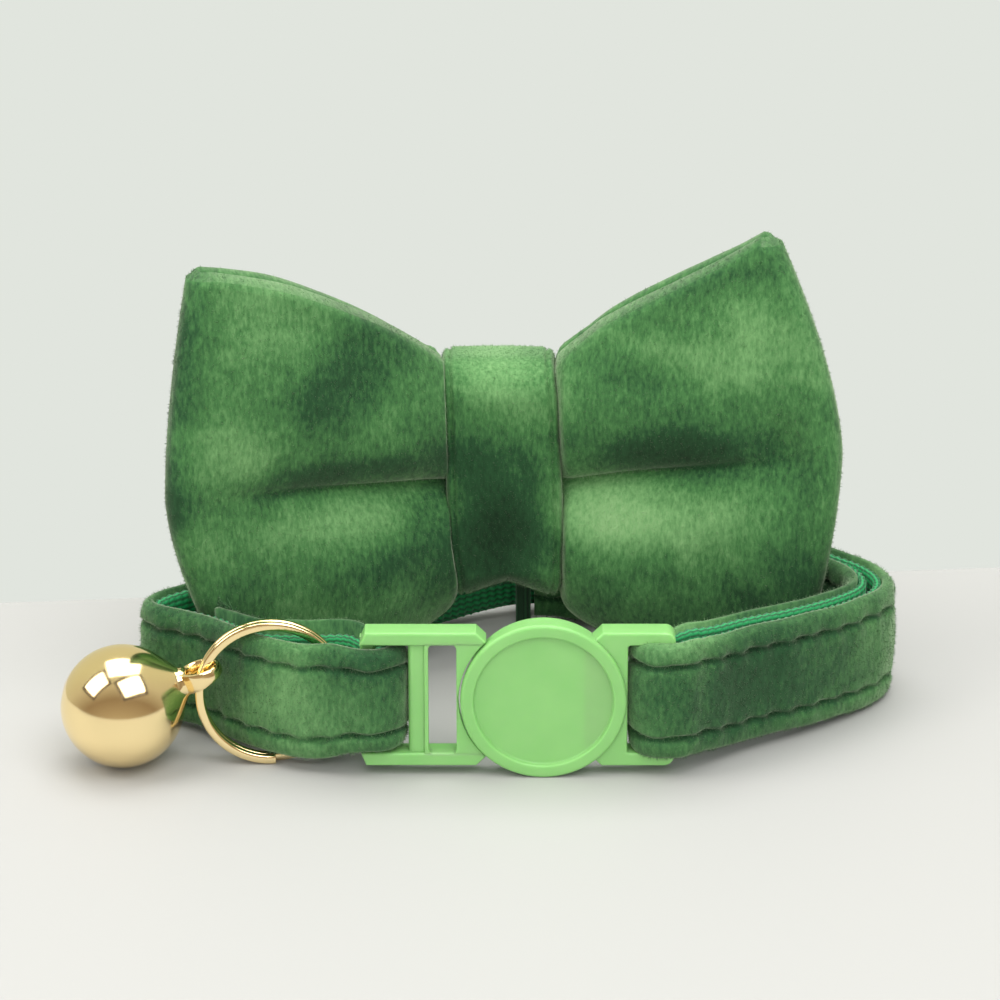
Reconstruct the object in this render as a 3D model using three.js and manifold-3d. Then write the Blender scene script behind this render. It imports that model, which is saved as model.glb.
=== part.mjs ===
// A velvet cat collar standing on its edge, with a round breakaway buckle, a split ring
// with a jingle bell, and a velvet bow that hangs on the back of the strap.
// Millimetres. +X runs to the right along the buckle, +Y to the back, +Z up.
// Every piece is laid out from the middle of the buckle's round front, with the table at z = 0.
import * as THREE from 'three';
import { mergeVertices } from 'three/addons/utils/BufferGeometryUtils.js';
import Module from 'manifold-3d';

// Small clearances between neighbours
const FIT = 0.3;
const SEWN_GAP = 0.2;
const BAR_GAP = 0.25;

// Strap: velvet outside, ribbed webbing inside
const STRAP_WIDTH = 12.4;
const STRAP_WIDTH_AT_BAR = 11;
const VELVET = 1.3;
const WEBBING = 0.7;
const WEBBING_SHARE = 0.93;
const LOOP_WIDTH = 74.7;
const LOOP_LEFT = 39.6;
const LOOP_DEPTH = 41.2;
const LOOP_START_LEFT = 3.15;
const LOOP_START_RIGHT = 3.87;
const LIFT_LENGTH = 34;
const STRAP_SAG = 0.6;
const SLOT_CLEAR = 1.2;
const STITCH_PINCH = 0.5;
const PILE_CROWN = 1.1;

// Round buckle
const DISC_DIAMETER = 16.5;
const DISC_THICK = 3.3;
const RIM_THICK = 1.2;
const GROOVE_WIDTH = 0.4;
const GROOVE_DEPTH = 0.55;
const BACK_STEP = 0.4;
const RECESS_DIAMETER = 13.8;
const RECESS_DEPTH = 0.5;
const EDGE_ROUND = 0.25;
const BUCKLE_HEIGHT = 14.4;
const RAIL_HEIGHT = 1.2;
const RAIL_FRONT = 0.6;
const RAIL_DEPTH = 2.6;
const BAR_WIDTH = 1.55;
const BAR_THICK = 1.2;
const BAR_END = 0.25;
const SHOULDER = 1.0;
const END_SLANT = 0.5;
const MID_BAR_WIDTH = 2.0;
const WINDOW_WIDTH = 2.9;
const WINDOW_TO_DISC = 0.25;
const WINDOW_WALL = 1.2;
const WINDOW_RELIEF = 0.6;
const TONGUE_LENGTH = 6.5;
const TONGUE_HEIGHT = 8;
const TONGUE_THICK = 0.9;
const PLATE_ROUND = 1.0;

// Split ring
const RING_DIAMETER = 15.1;
const RING_WIRE = 0.8;
const RING_COIL_THICK = 0.72;
const RING_COIL_GAP = 0.1;
const RING_TURNS = 1.9;
const RING_CROSSING = 0.1;
const RING_END_TURN = 3;
const RING_LEAN = 3;
const RING_YAW = 4;
const RING_X = -27.2;
const RING_Y = 4.2;

// Jingle bell
const BELL_DIAMETER = 12.4;
const BELL_WALL = 0.5;
const BELL_CLOSE = 0.86;
const BELL_NECK = 0.7;
const NECK_DIAMETER = 2.7;
const NECK_TOP_DIAMETER = 1.9;
const NECK_EDGE = 0.3;
const BELL_TILT = 23.5;
const BAIL_WIRE = 0.8;
const BAIL_LENGTH = 4.4;
const BAIL_WIDTH = 4.4;
const SLOT_LENGTH = 7;
const SLOT_WIDTH = 1.0;
const SLOT_HOLE = 2.0;
const PELLET_DIAMETER = 3;

// Bow
const BOW_SHIFT = -4;
const BOW_TO_STRAP = 10.15;
const BOW_CENTRE_Z = 20.3;
const BOW_WALL = 1.6;
const REACH_LEFT = 34.6;
const REACH_RIGHT = 34.7;
const TOP_CUT_LEFT = 3.2;
const TOP_CUT_RIGHT = 7.5;
const BOTTOM_CUT_LEFT = 7.4;
const BOTTOM_CUT_RIGHT = 3.8;
const TOP_CURVE = 1.5;
const BOTTOM_CURVE = 2;
const RISE_LEFT = 26.8;
const RISE_RIGHT = 28.2;
const VALLEY_RISE_LEFT = 3.6;
const VALLEY_RISE_RIGHT = 5;
const SWEEP_LEFT = 18.6;
const SWEEP_RIGHT = 8.8;
const LOBE_FRONT = 4.0;
const LOBE_BACK = 1.0;
const WING_KNEE = 0.05;
const POCKET = 0.4;
const KNOT_WIDTH = 12;
const KNOT_HEIGHT = 26.6;
const KNOT_DEPTH = 10;
const KNOT_WALL = 1.4;
const KNOT_CORNER = 4;

// Elastic loop that holds the bow on the back strap
const ELASTIC_WIDTH = 1.6;
const ELASTIC_THICK = 0.6;
const ELASTIC_X = -1.8;
const ELASTIC_TOP = 2.5;
const ELASTIC_LIFT = 6.4;

// Colours
const GREEN_VELVET = new THREE.MeshStandardMaterial({ color: 0x3f7a46, roughness: 0.9 });
const GREEN_WEBBING = new THREE.MeshStandardMaterial({ color: 0x0f8a4a, roughness: 0.8 });
const LIGHT_PLASTIC = new THREE.MeshStandardMaterial({ color: 0x93dc7e, roughness: 0.35 });
const GOLD_PLATE = new THREE.MeshStandardMaterial({ color: 0xe8b765, roughness: 0.2, metalness: 1 });
const STEEL = new THREE.MeshStandardMaterial({ color: 0xb8b8b8, roughness: 0.3, metalness: 1 });

// Steps that set how finely round shapes are cut
const DISC_STEPS = 48;
const BELL_STEPS = 28;
const RING_STEPS = 32;
const STRAP_STEP = 2.7;
const FOLD_STEPS = 8;
const KNOT_STEPS = 40;
const CORNER_STEPS = 5;
const HOLE_STEPS = 12;
const BAIL_STEPS = 16;
const WIRE_SIDES = 6;
const WELD = 1e-4;

const wasm = await Module();
wasm.setup();

const rad = THREE.MathUtils.degToRad;
const ease = (t) => THREE.MathUtils.smoothstep(t, 0, 1);

// A closed mesh as a solid for cutting and joining
function solid(geometry) {
  const bare = geometry.index ? geometry.toNonIndexed() : geometry.clone();
  bare.deleteAttribute('normal');
  bare.deleteAttribute('uv');
  const merged = mergeVertices(bare, WELD);
  return new wasm.Manifold(new wasm.Mesh({
    numProp: 3,
    vertProperties: new Float32Array(merged.attributes.position.array),
    triVerts: new Uint32Array(merged.index.array),
  }));
}

function geometryOf(manifold) {
  const mesh = manifold.getMesh();
  const geometry = new THREE.BufferGeometry();
  geometry.setAttribute('position', new THREE.BufferAttribute(mesh.vertProperties, 3));
  geometry.setIndex(new THREE.BufferAttribute(mesh.triVerts, 1));
  geometry.computeVertexNormals();
  return geometry;
}

// Skins a row of rings that all have the same number of points. A closed row joins its
// last ring to its first, an open one is capped by flat faces cut from the section.
function skin(rings, closed) {
  const count = rings[0].length;
  const positions = rings.flat().flatMap((p) => [p.x, p.y, p.z]);
  const faces = [];
  const rows = closed ? rings.length : rings.length - 1;
  for (let i = 0; i < rows; i++) {
    const next = (i + 1) % rings.length;
    for (let j = 0; j < count; j++) {
      const k = (j + 1) % count;
      const [a, b, c, d] = [i * count + j, i * count + k, next * count + j, next * count + k];
      faces.push([a, b, c], [b, d, c]);
    }
  }
  if (!closed) {
    const last = (rings.length - 1) * count;
    for (const [start, flip] of [[0, true], [last, false]]) {
      for (const [a, b, c] of capFaces(rings[start / count])) {
        faces.push(flip ? [start + a, start + c, start + b] : [start + a, start + b, start + c]);
      }
    }
  }
  const geometry = new THREE.BufferGeometry();
  geometry.setAttribute('position', new THREE.Float32BufferAttribute(positions, 3));
  geometry.setIndex(faces.flat());
  if (signedVolume(geometry) < 0) {
    geometry.setIndex(faces.flatMap(([a, b, c]) => [a, c, b]));
  }
  geometry.computeVertexNormals();
  return geometry;
}

// Triangles of one flat ring, wound as the ring is
function capFaces(ring) {
  const normal = new THREE.Vector3();
  ring.forEach((p, i) => normal.add(p.clone().cross(ring[(i + 1) % ring.length])));
  normal.normalize();
  const across = ring[1].clone().sub(ring[0]).projectOnPlane(normal).normalize();
  const up = normal.clone().cross(across);
  const flat = ring.map((p) => new THREE.Vector2(p.dot(across), p.dot(up)));
  return THREE.ShapeUtils.triangulateShape(flat, []);
}

function signedVolume(geometry) {
  const p = geometry.attributes.position;
  const corner = [new THREE.Vector3(), new THREE.Vector3(), new THREE.Vector3()];
  let volume = 0;
  for (let i = 0; i < geometry.index.count; i += 3) {
    corner.forEach((v, k) => v.fromBufferAttribute(p, geometry.index.getX(i + k)));
    volume += corner[0].dot(corner[1].cross(corner[2])) / 6;
  }
  return volume;
}

// A flat outline in X and Z, given depth along Y from front to back
function plate(shape, front, depth) {
  const geometry = new THREE.ExtrudeGeometry(shape,
    { depth, bevelEnabled: false, curveSegments: CORNER_STEPS });
  geometry.rotateX(Math.PI / 2);
  geometry.translate(0, front + depth, 0);
  return geometry;
}

function block(x0, x1, y0, y1, z0, z1) {
  const geometry = new THREE.BoxGeometry(x1 - x0, y1 - y0, z1 - z0);
  geometry.translate((x0 + x1) / 2, (y0 + y1) / 2, (z0 + z1) / 2);
  return solid(geometry);
}

// A cylinder whose axis runs along Y
function drum(radius, y0, y1) {
  const geometry = new THREE.CylinderGeometry(radius, radius, y1 - y0, DISC_STEPS);
  geometry.translate(0, (y0 + y1) / 2, 0);
  return solid(geometry);
}

// An upright rectangle in the XZ plane with its corners rounded
function roundedBox(x0, x1, z0, z1, round) {
  const shape = new THREE.Shape();
  shape.absarc(x1 - round, z1 - round, round, 0, Math.PI / 2);
  shape.absarc(x0 + round, z1 - round, round, Math.PI / 2, Math.PI);
  shape.absarc(x0 + round, z0 + round, round, Math.PI, 1.5 * Math.PI);
  shape.absarc(x1 - round, z0 + round, round, 1.5 * Math.PI, 2 * Math.PI);
  return shape;
}

// Places that the strap and the buckle share
const discRadius = DISC_DIAMETER / 2;
const buckleZ = discRadius;
const halfHeight = BUCKLE_HEIGHT / 2;
const slotHalf = halfHeight - RAIL_HEIGHT;
const railBack = RAIL_FRONT + RAIL_DEPTH;
const barY = railBack - BAR_THICK / 2;
const foldRadius = BAR_THICK / 2 + BAR_GAP + WEBBING + SEWN_GAP / 2;
const foldOuter = foldRadius + SEWN_GAP / 2 + VELVET * PILE_CROWN;
const bowAxisY = barY - foldRadius + LOOP_DEPTH - BOW_TO_STRAP;
const windowRight = -discRadius - WINDOW_TO_DISC;
const windowLeft = windowRight - WINDOW_WIDTH;
const maleSlotRight = windowLeft - MID_BAR_WIDTH;
const maleFoldX = maleSlotRight - FIT - foldOuter;
const maleBarRight = maleFoldX + BAR_END;
const maleLeft = maleBarRight - BAR_WIDTH;
const femaleSlotLeft = discRadius;
const femaleFoldX = femaleSlotLeft + FIT + foldOuter;
const femaleBarLeft = femaleFoldX - BAR_END;
const femaleRight = femaleBarLeft + BAR_WIDTH;

// Buckle half with the bars that the left end of the strap folds round. Its tongue
// reaches into the round half.
function buckleMale() {
  const shoulderX = -Math.sqrt((discRadius + FIT) ** 2 - (halfHeight - SHOULDER) ** 2);
  const outline = new THREE.Shape();
  outline.moveTo(maleLeft + END_SLANT, halfHeight);
  outline.lineTo(shoulderX - SHOULDER, halfHeight);
  outline.lineTo(shoulderX, halfHeight - SHOULDER);
  outline.lineTo(shoulderX, SHOULDER - halfHeight);
  outline.lineTo(shoulderX - SHOULDER, -halfHeight);
  outline.lineTo(maleLeft + END_SLANT, -halfHeight);
  outline.lineTo(maleLeft, -slotHalf);
  outline.lineTo(maleLeft, slotHalf);
  const strapSlot = roundedBox(maleBarRight, maleSlotRight, -slotHalf, slotHalf, FIT);
  const window = roundedBox(windowLeft, windowRight, -slotHalf, slotHalf, RAIL_HEIGHT / 2);
  outline.holes.push(strapSlot, window);
  const tongueFront = (RIM_THICK + DISC_THICK) / 2 - TONGUE_THICK / 2;
  const tongue = block(windowRight - FIT, windowRight + TONGUE_LENGTH,
    tongueFront, tongueFront + TONGUE_THICK, -TONGUE_HEIGHT / 2, TONGUE_HEIGHT / 2);
  const body = solid(plate(outline, RAIL_FRONT, RAIL_DEPTH))
    .subtract(drum(discRadius + FIT, RAIL_FRONT - FIT, RIM_THICK + FIT))
    .subtract(drum(discRadius - BACK_STEP + FIT, RIM_THICK, railBack + FIT))
    .subtract(block(maleLeft - FIT, maleBarRight + FIT, RAIL_FRONT - FIT, railBack - BAR_THICK,
      -slotHalf, slotHalf))
    .subtract(block(windowLeft, windowRight, RAIL_FRONT + WINDOW_WALL, railBack + FIT,
      -slotHalf - WINDOW_RELIEF, slotHalf + WINDOW_RELIEF))
    .add(tongue);
  return geometryOf(body);
}

// Round half: a rimmed disc with a bare recess, a groove behind its rim, a pocket for
// the tongue, and the bar that the right end of the strap folds round.
function buckleFemale() {
  const back = discRadius - BACK_STEP;
  const grooveFloor = discRadius - GROOVE_DEPTH;
  const recess = RECESS_DIAMETER / 2;
  const profile = [
    [0, RECESS_DEPTH], [recess - EDGE_ROUND, RECESS_DEPTH], [recess, RECESS_DEPTH - EDGE_ROUND],
    [recess, EDGE_ROUND], [recess + EDGE_ROUND, 0], [discRadius - EDGE_ROUND, 0],
    [discRadius, EDGE_ROUND], [discRadius, RIM_THICK - EDGE_ROUND],
    [discRadius - EDGE_ROUND, RIM_THICK], [grooveFloor, RIM_THICK],
    [grooveFloor, RIM_THICK + GROOVE_WIDTH], [back, RIM_THICK + GROOVE_WIDTH],
    [back, DISC_THICK - EDGE_ROUND], [back - EDGE_ROUND, DISC_THICK], [0, DISC_THICK],
  ].map(([r, y]) => new THREE.Vector2(r, y));
  const disc = solid(new THREE.LatheGeometry(profile, DISC_STEPS));
  const shoulderX = Math.sqrt(back ** 2 - (halfHeight - SHOULDER) ** 2);
  const outline = new THREE.Shape();
  outline.moveTo(shoulderX, SHOULDER - halfHeight);
  outline.lineTo(shoulderX + SHOULDER, -halfHeight);
  outline.lineTo(femaleRight - PLATE_ROUND, -halfHeight);
  outline.absarc(femaleRight - PLATE_ROUND, PLATE_ROUND - halfHeight, PLATE_ROUND, -Math.PI / 2, 0);
  outline.absarc(femaleRight - PLATE_ROUND, halfHeight - PLATE_ROUND, PLATE_ROUND, 0, Math.PI / 2);
  outline.lineTo(shoulderX + SHOULDER, halfHeight);
  outline.lineTo(shoulderX, halfHeight - SHOULDER);
  outline.holes.push(roundedBox(femaleSlotLeft, femaleBarLeft, -slotHalf, slotHalf, FIT));
  const side = solid(plate(outline, RAIL_FRONT, RAIL_DEPTH))
    .subtract(block(femaleBarLeft - FIT, femaleRight + FIT, RAIL_FRONT - FIT, railBack - BAR_THICK,
      -slotHalf, slotHalf));
  const pocketMiddle = (RIM_THICK + DISC_THICK) / 2;
  const pocketHalf = TONGUE_THICK / 2 + FIT;
  const pocket = block(-DISC_DIAMETER, windowRight + TONGUE_LENGTH + FIT,
    pocketMiddle - pocketHalf, pocketMiddle + pocketHalf,
    -TONGUE_HEIGHT / 2 - FIT, TONGUE_HEIGHT / 2 + FIT);
  return geometryOf(disc.add(side).subtract(pocket));
}

// The line between velvet and webbing, seen from above. The rows give each bend of the
// loop as shares of its width (x, from its left end) and depth (y, from the fold line).
const OUTER_LOOP = [
  { x: 0.262, y: 0.017 }, { x: 0.208, y: 0.036 }, { x: 0.148, y: 0.102 }, { x: 0.088, y: 0.220 },
  { x: 0.048, y: 0.278 }, { x: 0.013, y: 0.318 }, { x: 0.000, y: 0.358 }, { x: 0.012, y: 0.397 },
  { x: 0.040, y: 0.438 }, { x: 0.090, y: 0.512 }, { x: 0.169, y: 0.625 }, { x: 0.262, y: 0.752 },
  { x: 0.369, y: 0.890 }, { x: 0.471, y: 0.975 }, { x: 0.570, y: 1.000 }, { x: 0.664, y: 0.976 },
  { x: 0.771, y: 0.903 }, { x: 0.871, y: 0.802 }, { x: 0.945, y: 0.679 }, { x: 0.985, y: 0.598 },
  { x: 1.000, y: 0.517 }, { x: 0.992, y: 0.442 }, { x: 0.951, y: 0.346 }, { x: 0.876, y: 0.232 },
  { x: 0.798, y: 0.134 }, { x: 0.739, y: 0.052 },
];
const INNER_LEFT = [
  { x: 0.085, y: 0.292 }, { x: 0.149, y: 0.196 }, { x: 0.206, y: 0.165 }, { x: 0.262, y: 0.150 },
];
const INNER_RIGHT = [
  { x: 0.739, y: 0.134 }, { x: 0.798, y: 0.211 }, { x: 0.876, y: 0.304 }, { x: 0.938, y: 0.404 },
  { x: 0.964, y: 0.468 }, { x: 0.968, y: 0.534 }, { x: 0.946, y: 0.617 }, { x: 0.878, y: 0.716 },
  { x: 0.784, y: 0.824 }, { x: 0.664, y: 0.908 }, { x: 0.570, y: 0.938 }, { x: 0.522, y: 0.936 },
];

// The loop's ends keep their place beside the buckle's bars, whatever the loop's width
const FRONT_LEFT = 0.262;
const FRONT_RIGHT = 0.739;
function planX(share) {
  const left = maleFoldX - LOOP_START_LEFT;
  const right = femaleFoldX + LOOP_START_RIGHT;
  const { mapLinear } = THREE.MathUtils;
  if (share < FRONT_LEFT) return mapLinear(share, 0, FRONT_LEFT, -LOOP_LEFT, left);
  if (share < FRONT_RIGHT) return mapLinear(share, FRONT_LEFT, FRONT_RIGHT, left, right);
  return mapLinear(share, FRONT_RIGHT, 1, right, LOOP_WIDTH - LOOP_LEFT);
}

function plan(rows) {
  return rows.map((row) => new THREE.Vector3(
    planX(row.x), barY - foldRadius + row.y * LOOP_DEPTH, 0));
}

function spaced(points) {
  const curve = new THREE.CatmullRomCurve3(points, false, 'centripetal');
  return curve.getSpacedPoints(Math.round(curve.getLength() / STRAP_STEP));
}

// Half turn round a bar. The way in is at the back for the left bar, at the front for the right.
function fold(x, side) {
  const points = [];
  for (let i = 0; i <= FOLD_STEPS; i++) {
    const turn = Math.PI * i / FOLD_STEPS;
    points.push(new THREE.Vector3(
      x + side * foldRadius * Math.sin(turn), barY + side * foldRadius * Math.cos(turn), 0));
  }
  return points;
}

// Stations along the whole strap: place, heading, and how far it runs from a buckle bar
function strapStations() {
  const maleFold = fold(maleFoldX, 1);
  const femaleFold = fold(femaleFoldX, -1);
  const left = spaced([...plan(INNER_LEFT), maleFold[0]]);
  // The outer layer runs straight past each bar's end before it turns away
  const pastBar = new THREE.Vector3(BAR_WIDTH - BAR_END + STRAP_STEP / 2, 0, 0);
  const outer = spaced([maleFold.at(-1).clone().sub(pastBar), ...plan(OUTER_LOOP),
    femaleFold[0].clone().add(pastBar)]);
  const right = spaced([femaleFold.at(-1), ...plan(INNER_RIGHT)]);
  const points = [...left.slice(0, -1), ...maleFold, ...outer,
    ...femaleFold.slice(0, -1), ...right];
  const bars = [maleFoldX, femaleFoldX].map((x) => new THREE.Vector3(x, barY, 0));
  return points.map((point, i) => {
    const before = points[Math.max(i - 1, 0)];
    const after = points[Math.min(i + 1, points.length - 1)];
    const heading = after.clone().sub(before).normalize();
    const side = new THREE.Vector3(-heading.y, heading.x, 0);
    const fromBar = Math.min(...bars.map((bar) => bar.distanceTo(point)));
    return { point, side, fromBar };
  });
}

// 0 where the buckle's slot holds the strap, 1 where the strap is free of it
function clearOfBar(station) {
  return ease((station.fromBar - BAR_WIDTH - SLOT_CLEAR) / BAR_WIDTH);
}

// Half width and middle height of the strap at a station
function strapHalf(station) {
  return THREE.MathUtils.lerp(STRAP_WIDTH_AT_BAR, STRAP_WIDTH, clearOfBar(station)) / 2;
}

function strapMiddle(station) {
  const far = ease((station.fromBar - foldOuter) / LIFT_LENGTH);
  const overElastic = Math.exp(-(((station.point.x - ELASTIC_X) / ELASTIC_LIFT) ** 2));
  const back = station.point.y > bowAxisY ? 1 : 0;
  const rest = STRAP_WIDTH / 2 + back * overElastic * (ELASTIC_THICK + FIT);
  return THREE.MathUtils.lerp(buckleZ - STRAP_SAG * clearOfBar(station), rest, far);
}

// Rows of the velvet's section: height as a share of the half width, proud as a share of
// the thickness. The dips are the two lines of edge stitching.
const VELVET_SECTION = [
  { height: -1, proud: 0.35 }, { height: -0.93, proud: 0.85 }, { height: -0.7, proud: 1 },
  { height: -0.62, proud: STITCH_PINCH }, { height: -0.54, proud: 1 }, { height: 0, proud: PILE_CROWN },
  { height: 0.54, proud: 1 }, { height: 0.62, proud: STITCH_PINCH }, { height: 0.7, proud: 1 },
  { height: 0.93, proud: 0.85 }, { height: 1, proud: 0.35 }, { height: 1, proud: 0 },
  { height: -1, proud: 0 },
];

function strapLayer(stations, section, inner, thick, share) {
  const rings = stations.map((station) => {
    const half = strapHalf(station) * share;
    const middle = strapMiddle(station);
    return section.map((row) => station.point.clone()
      .addScaledVector(station.side, inner + row.proud * thick)
      .setZ(middle + row.height * half));
  });
  return skin(rings, false);
}

const WEBBING_SECTION = [
  { height: -1, proud: 0 }, { height: -1, proud: 1 }, { height: 1, proud: 1 }, { height: 1, proud: 0 },
];

// Section of the ring's wire: shares of its width outward and of its thickness in depth
const WIRE_SECTION = [
  { out: -0.5, depth: -0.5 }, { out: 0.3, depth: -0.5 }, { out: 0.5, depth: -0.25 },
  { out: 0.5, depth: 0.25 }, { out: 0.3, depth: 0.5 }, { out: -0.5, depth: 0.5 },
];

// Two turns of flat wire side by side, cut square at both ends
const ringRadius = (RING_DIAMETER - RING_WIRE) / 2;
function splitRing() {
  const pitch = RING_COIL_THICK + RING_COIL_GAP;
  const steps = Math.round(RING_TURNS * RING_STEPS);
  const rings = [];
  for (let i = 0; i <= steps; i++) {
    const turns = RING_TURNS * i / steps;
    // The front turn ends at the ring's foot, beside where the wire crosses from back to front
    const angle = 2 * Math.PI * (turns - RING_TURNS) + rad(RING_END_TURN - 90);
    const step = ease((turns - RING_TURNS + 1) / RING_CROSSING);
    const y = pitch * (0.5 - step);
    const out = new THREE.Vector3(Math.cos(angle), 0, Math.sin(angle));
    rings.push(WIRE_SECTION.map((row) => out.clone()
      .multiplyScalar(ringRadius + row.out * RING_WIRE).setY(y + row.depth * RING_COIL_THICK)));
  }
  return skin(rings, false);
}

// Hollow bell whose axis leans up to the ring, with a bail at its top and a slot at its foot
const bellRadius = BELL_DIAMETER / 2;
const bailReach = bellRadius + BELL_NECK + (BAIL_LENGTH - BAIL_WIRE) / 2;
function bell() {
  const inner = bellRadius - BELL_WALL;
  const neck = bellRadius + BELL_NECK;
  const profile = [];
  const rows = BELL_STEPS / 2;
  for (let i = 0; i <= rows; i++) {
    const turn = Math.PI * BELL_CLOSE * i / rows;
    profile.push(new THREE.Vector2(bellRadius * Math.sin(turn), -bellRadius * Math.cos(turn)));
  }
  profile.push(new THREE.Vector2(NECK_DIAMETER / 2, neck - NECK_EDGE),
    new THREE.Vector2(NECK_TOP_DIAMETER / 2, neck), new THREE.Vector2(0, neck));
  const shell = solid(new THREE.LatheGeometry(profile, BELL_STEPS).rotateX(Math.PI / 2));
  const hollow = solid(new THREE.SphereGeometry(inner, BELL_STEPS, rows));
  const slot = block(-SLOT_LENGTH / 2, SLOT_LENGTH / 2, -SLOT_WIDTH / 2, SLOT_WIDTH / 2,
    -BELL_DIAMETER, 0);
  let body = shell.subtract(hollow).subtract(slot);
  for (const side of [-1, 1]) {
    const hole = new THREE.CylinderGeometry(SLOT_HOLE / 2, SLOT_HOLE / 2, bellRadius, HOLE_STEPS);
    hole.rotateX(Math.PI / 2).translate(side * SLOT_LENGTH / 2, 0, -bellRadius);
    body = body.subtract(solid(hole));
  }
  return geometryOf(body.add(bail()));
}

// Flat link of round wire that stands on the neck, its hole running along X
function bail() {
  const half = new THREE.Vector2((BAIL_WIDTH - BAIL_WIRE) / 2, (BAIL_LENGTH - BAIL_WIRE) / 2);
  const rings = [];
  for (let i = 0; i < BAIL_STEPS; i++) {
    const angle = 2 * Math.PI * i / BAIL_STEPS;
    const centre = new THREE.Vector3(0, half.x * Math.cos(angle), half.y * Math.sin(angle));
    const out = new THREE.Vector3(0, half.y * Math.cos(angle), half.x * Math.sin(angle)).normalize();
    const ring = [];
    for (let j = 0; j < WIRE_SIDES; j++) {
      const turn = 2 * Math.PI * (j + 0.5) / WIRE_SIDES;
      ring.push(centre.clone().addScaledVector(out, Math.cos(turn) * BAIL_WIRE / 2)
        .setX(Math.sin(turn) * BAIL_WIRE / 2));
    }
    rings.push(ring);
  }
  const geometry = skin(rings, true);
  geometry.translate(0, 0, bailReach);
  return solid(geometry);
}

// Bow: a wide velvet band in a flat closed loop, gripped in the middle by the knot.
// Rows run from the knot's edge (along 0) to the wing's tip (along 1), after one row in the
// knot's middle. Rise and drop say how far the top and bottom edges have left the knot's
// height, lobe how far the panels swell, crease how deep the valley between the lobes cuts.
const WING_ROWS = [
  { along: -1, rise: 0.00, drop: 0.00, lobe: 0.28, crease: 0.5 },
  { along: 0.00, rise: 0.00, drop: 0.00, lobe: 0.28, crease: 0.5 },
  { along: 0.06, rise: 0.10, drop: 0.36, lobe: 0.95, crease: 0.5 },
  { along: 0.18, rise: 0.33, drop: 0.62, lobe: 0.98, crease: 0.6 },
  { along: 0.33, rise: 0.53, drop: 0.77, lobe: 0.84, crease: 0.75 },
  { along: 0.51, rise: 0.71, drop: 0.88, lobe: 0.62, crease: 0.95 },
  { along: 0.70, rise: 0.86, drop: 0.95, lobe: 0.38, crease: 1.2 },
  { along: 0.88, rise: 0.96, drop: 0.99, lobe: 0.16, crease: 1.4 },
  { along: 1.00, rise: 1.00, drop: 1.00, lobe: 0.06, crease: 1.5 },
];
const WING_HEIGHTS = [-1, -0.88, -0.68, -0.42, -0.2, -0.07, 0, 0.07, 0.2, 0.42, 0.68, 0.88, 1];
const bundleHalf = KNOT_HEIGHT / 2 - KNOT_WALL - 2 * FIT;

// Point on a wing's middle surface and the direction across it
function wingAxis(side, along, height) {
  const reach = side < 0 ? REACH_LEFT : REACH_RIGHT;
  const topCut = side < 0 ? TOP_CUT_LEFT : TOP_CUT_RIGHT;
  const sweep = side < 0 ? SWEEP_LEFT : SWEEP_RIGHT;
  const bottomCut = side < 0 ? BOTTOM_CUT_LEFT : BOTTOM_CUT_RIGHT;
  const cut = height > 0 ? topCut * height ** TOP_CURVE : bottomCut * (-height) ** BOTTOM_CURVE;
  const tip = reach - cut - BOW_WALL - POCKET / 2;
  const start = KNOT_WIDTH / 2 + FIT;
  const run = Math.max(along, 0) * (tip - start);
  const out = along < 0 ? 0 : start + run;
  const length = reach - start;
  const knee = length * WING_KNEE;
  const y = bowAxisY - sweep * (Math.sqrt(run * run + knee * knee) - knee) / length;
  const slope = -sweep * run / Math.sqrt(run * run + knee * knee) / length;
  const across = new THREE.Vector3(-slope * side, 1, 0).normalize();
  return { point: new THREE.Vector3(BOW_SHIFT + side * out, y, 0), across };
}

function bowStation(side, row, face) {
  const rise = side < 0 ? RISE_LEFT : RISE_RIGHT;
  const outer = [];
  const inner = [];
  for (const height of WING_HEIGHTS) {
    const { point, across } = wingAxis(side, row.along, height);
    const swell = Math.abs(Math.sin(Math.PI * height)) ** row.crease * row.lobe;
    const lobe = swell * (face.front ? LOBE_FRONT : LOBE_BACK);
    const top = bundleHalf + (rise - bundleHalf) * row.rise;
    const bottom = bundleHalf + (BOW_CENTRE_Z - bundleHalf) * row.drop;
    const valley = (side < 0 ? VALLEY_RISE_LEFT : VALLEY_RISE_RIGHT) * Math.max(row.along, 0);
    const z = BOW_CENTRE_Z + valley + height * (height > 0 ? top - valley : bottom + valley);
    const out = new THREE.Vector3(-across.y, across.x, 0).multiplyScalar(-side);
    const away = across.clone().multiplyScalar(-Math.cos(face.turn))
      .addScaledVector(out, Math.sin(face.turn));
    const near = POCKET / 2 + lobe;
    for (const [edge, depth] of [[inner, near], [outer, near + BOW_WALL]]) {
      const placed = point.clone().addScaledVector(away, depth).setZ(z);
      // A swept lobe leans over the knot's edge, so it is held off that edge
      const least = row.along < 0 ? 0 : KNOT_WIDTH / 2 + FIT;
      const fromKnot = Math.max(side * (placed.x - BOW_SHIFT), least);
      edge.push(placed.setX(BOW_SHIFT + side * fromKnot));
    }
  }
  return [...outer, ...inner.reverse()];
}

// Half turn from front to back round a wing's tip
const TIP_TURNS = [0.25, 0.5, 0.75];

function bowBody() {
  const rings = [];
  const tip = WING_ROWS.at(-1);
  for (const side of [1, -1]) {
    const front = WING_ROWS.map((row) => bowStation(side, row, { front: true, turn: 0 }));
    const turn = TIP_TURNS.map(
      (t) => bowStation(side, tip, { front: t < 0.5, turn: t * Math.PI }));
    const back = WING_ROWS.map((row) => bowStation(side, row, { front: false, turn: Math.PI }));
    const wing = [...front, ...turn, ...back.reverse()];
    // The wing's first and last rows lie in the knot, where the other wing goes on
    rings.push(...(side > 0 ? wing : wing.slice(1, -1).reverse()));
  }
  return skin(rings, true);
}

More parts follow.
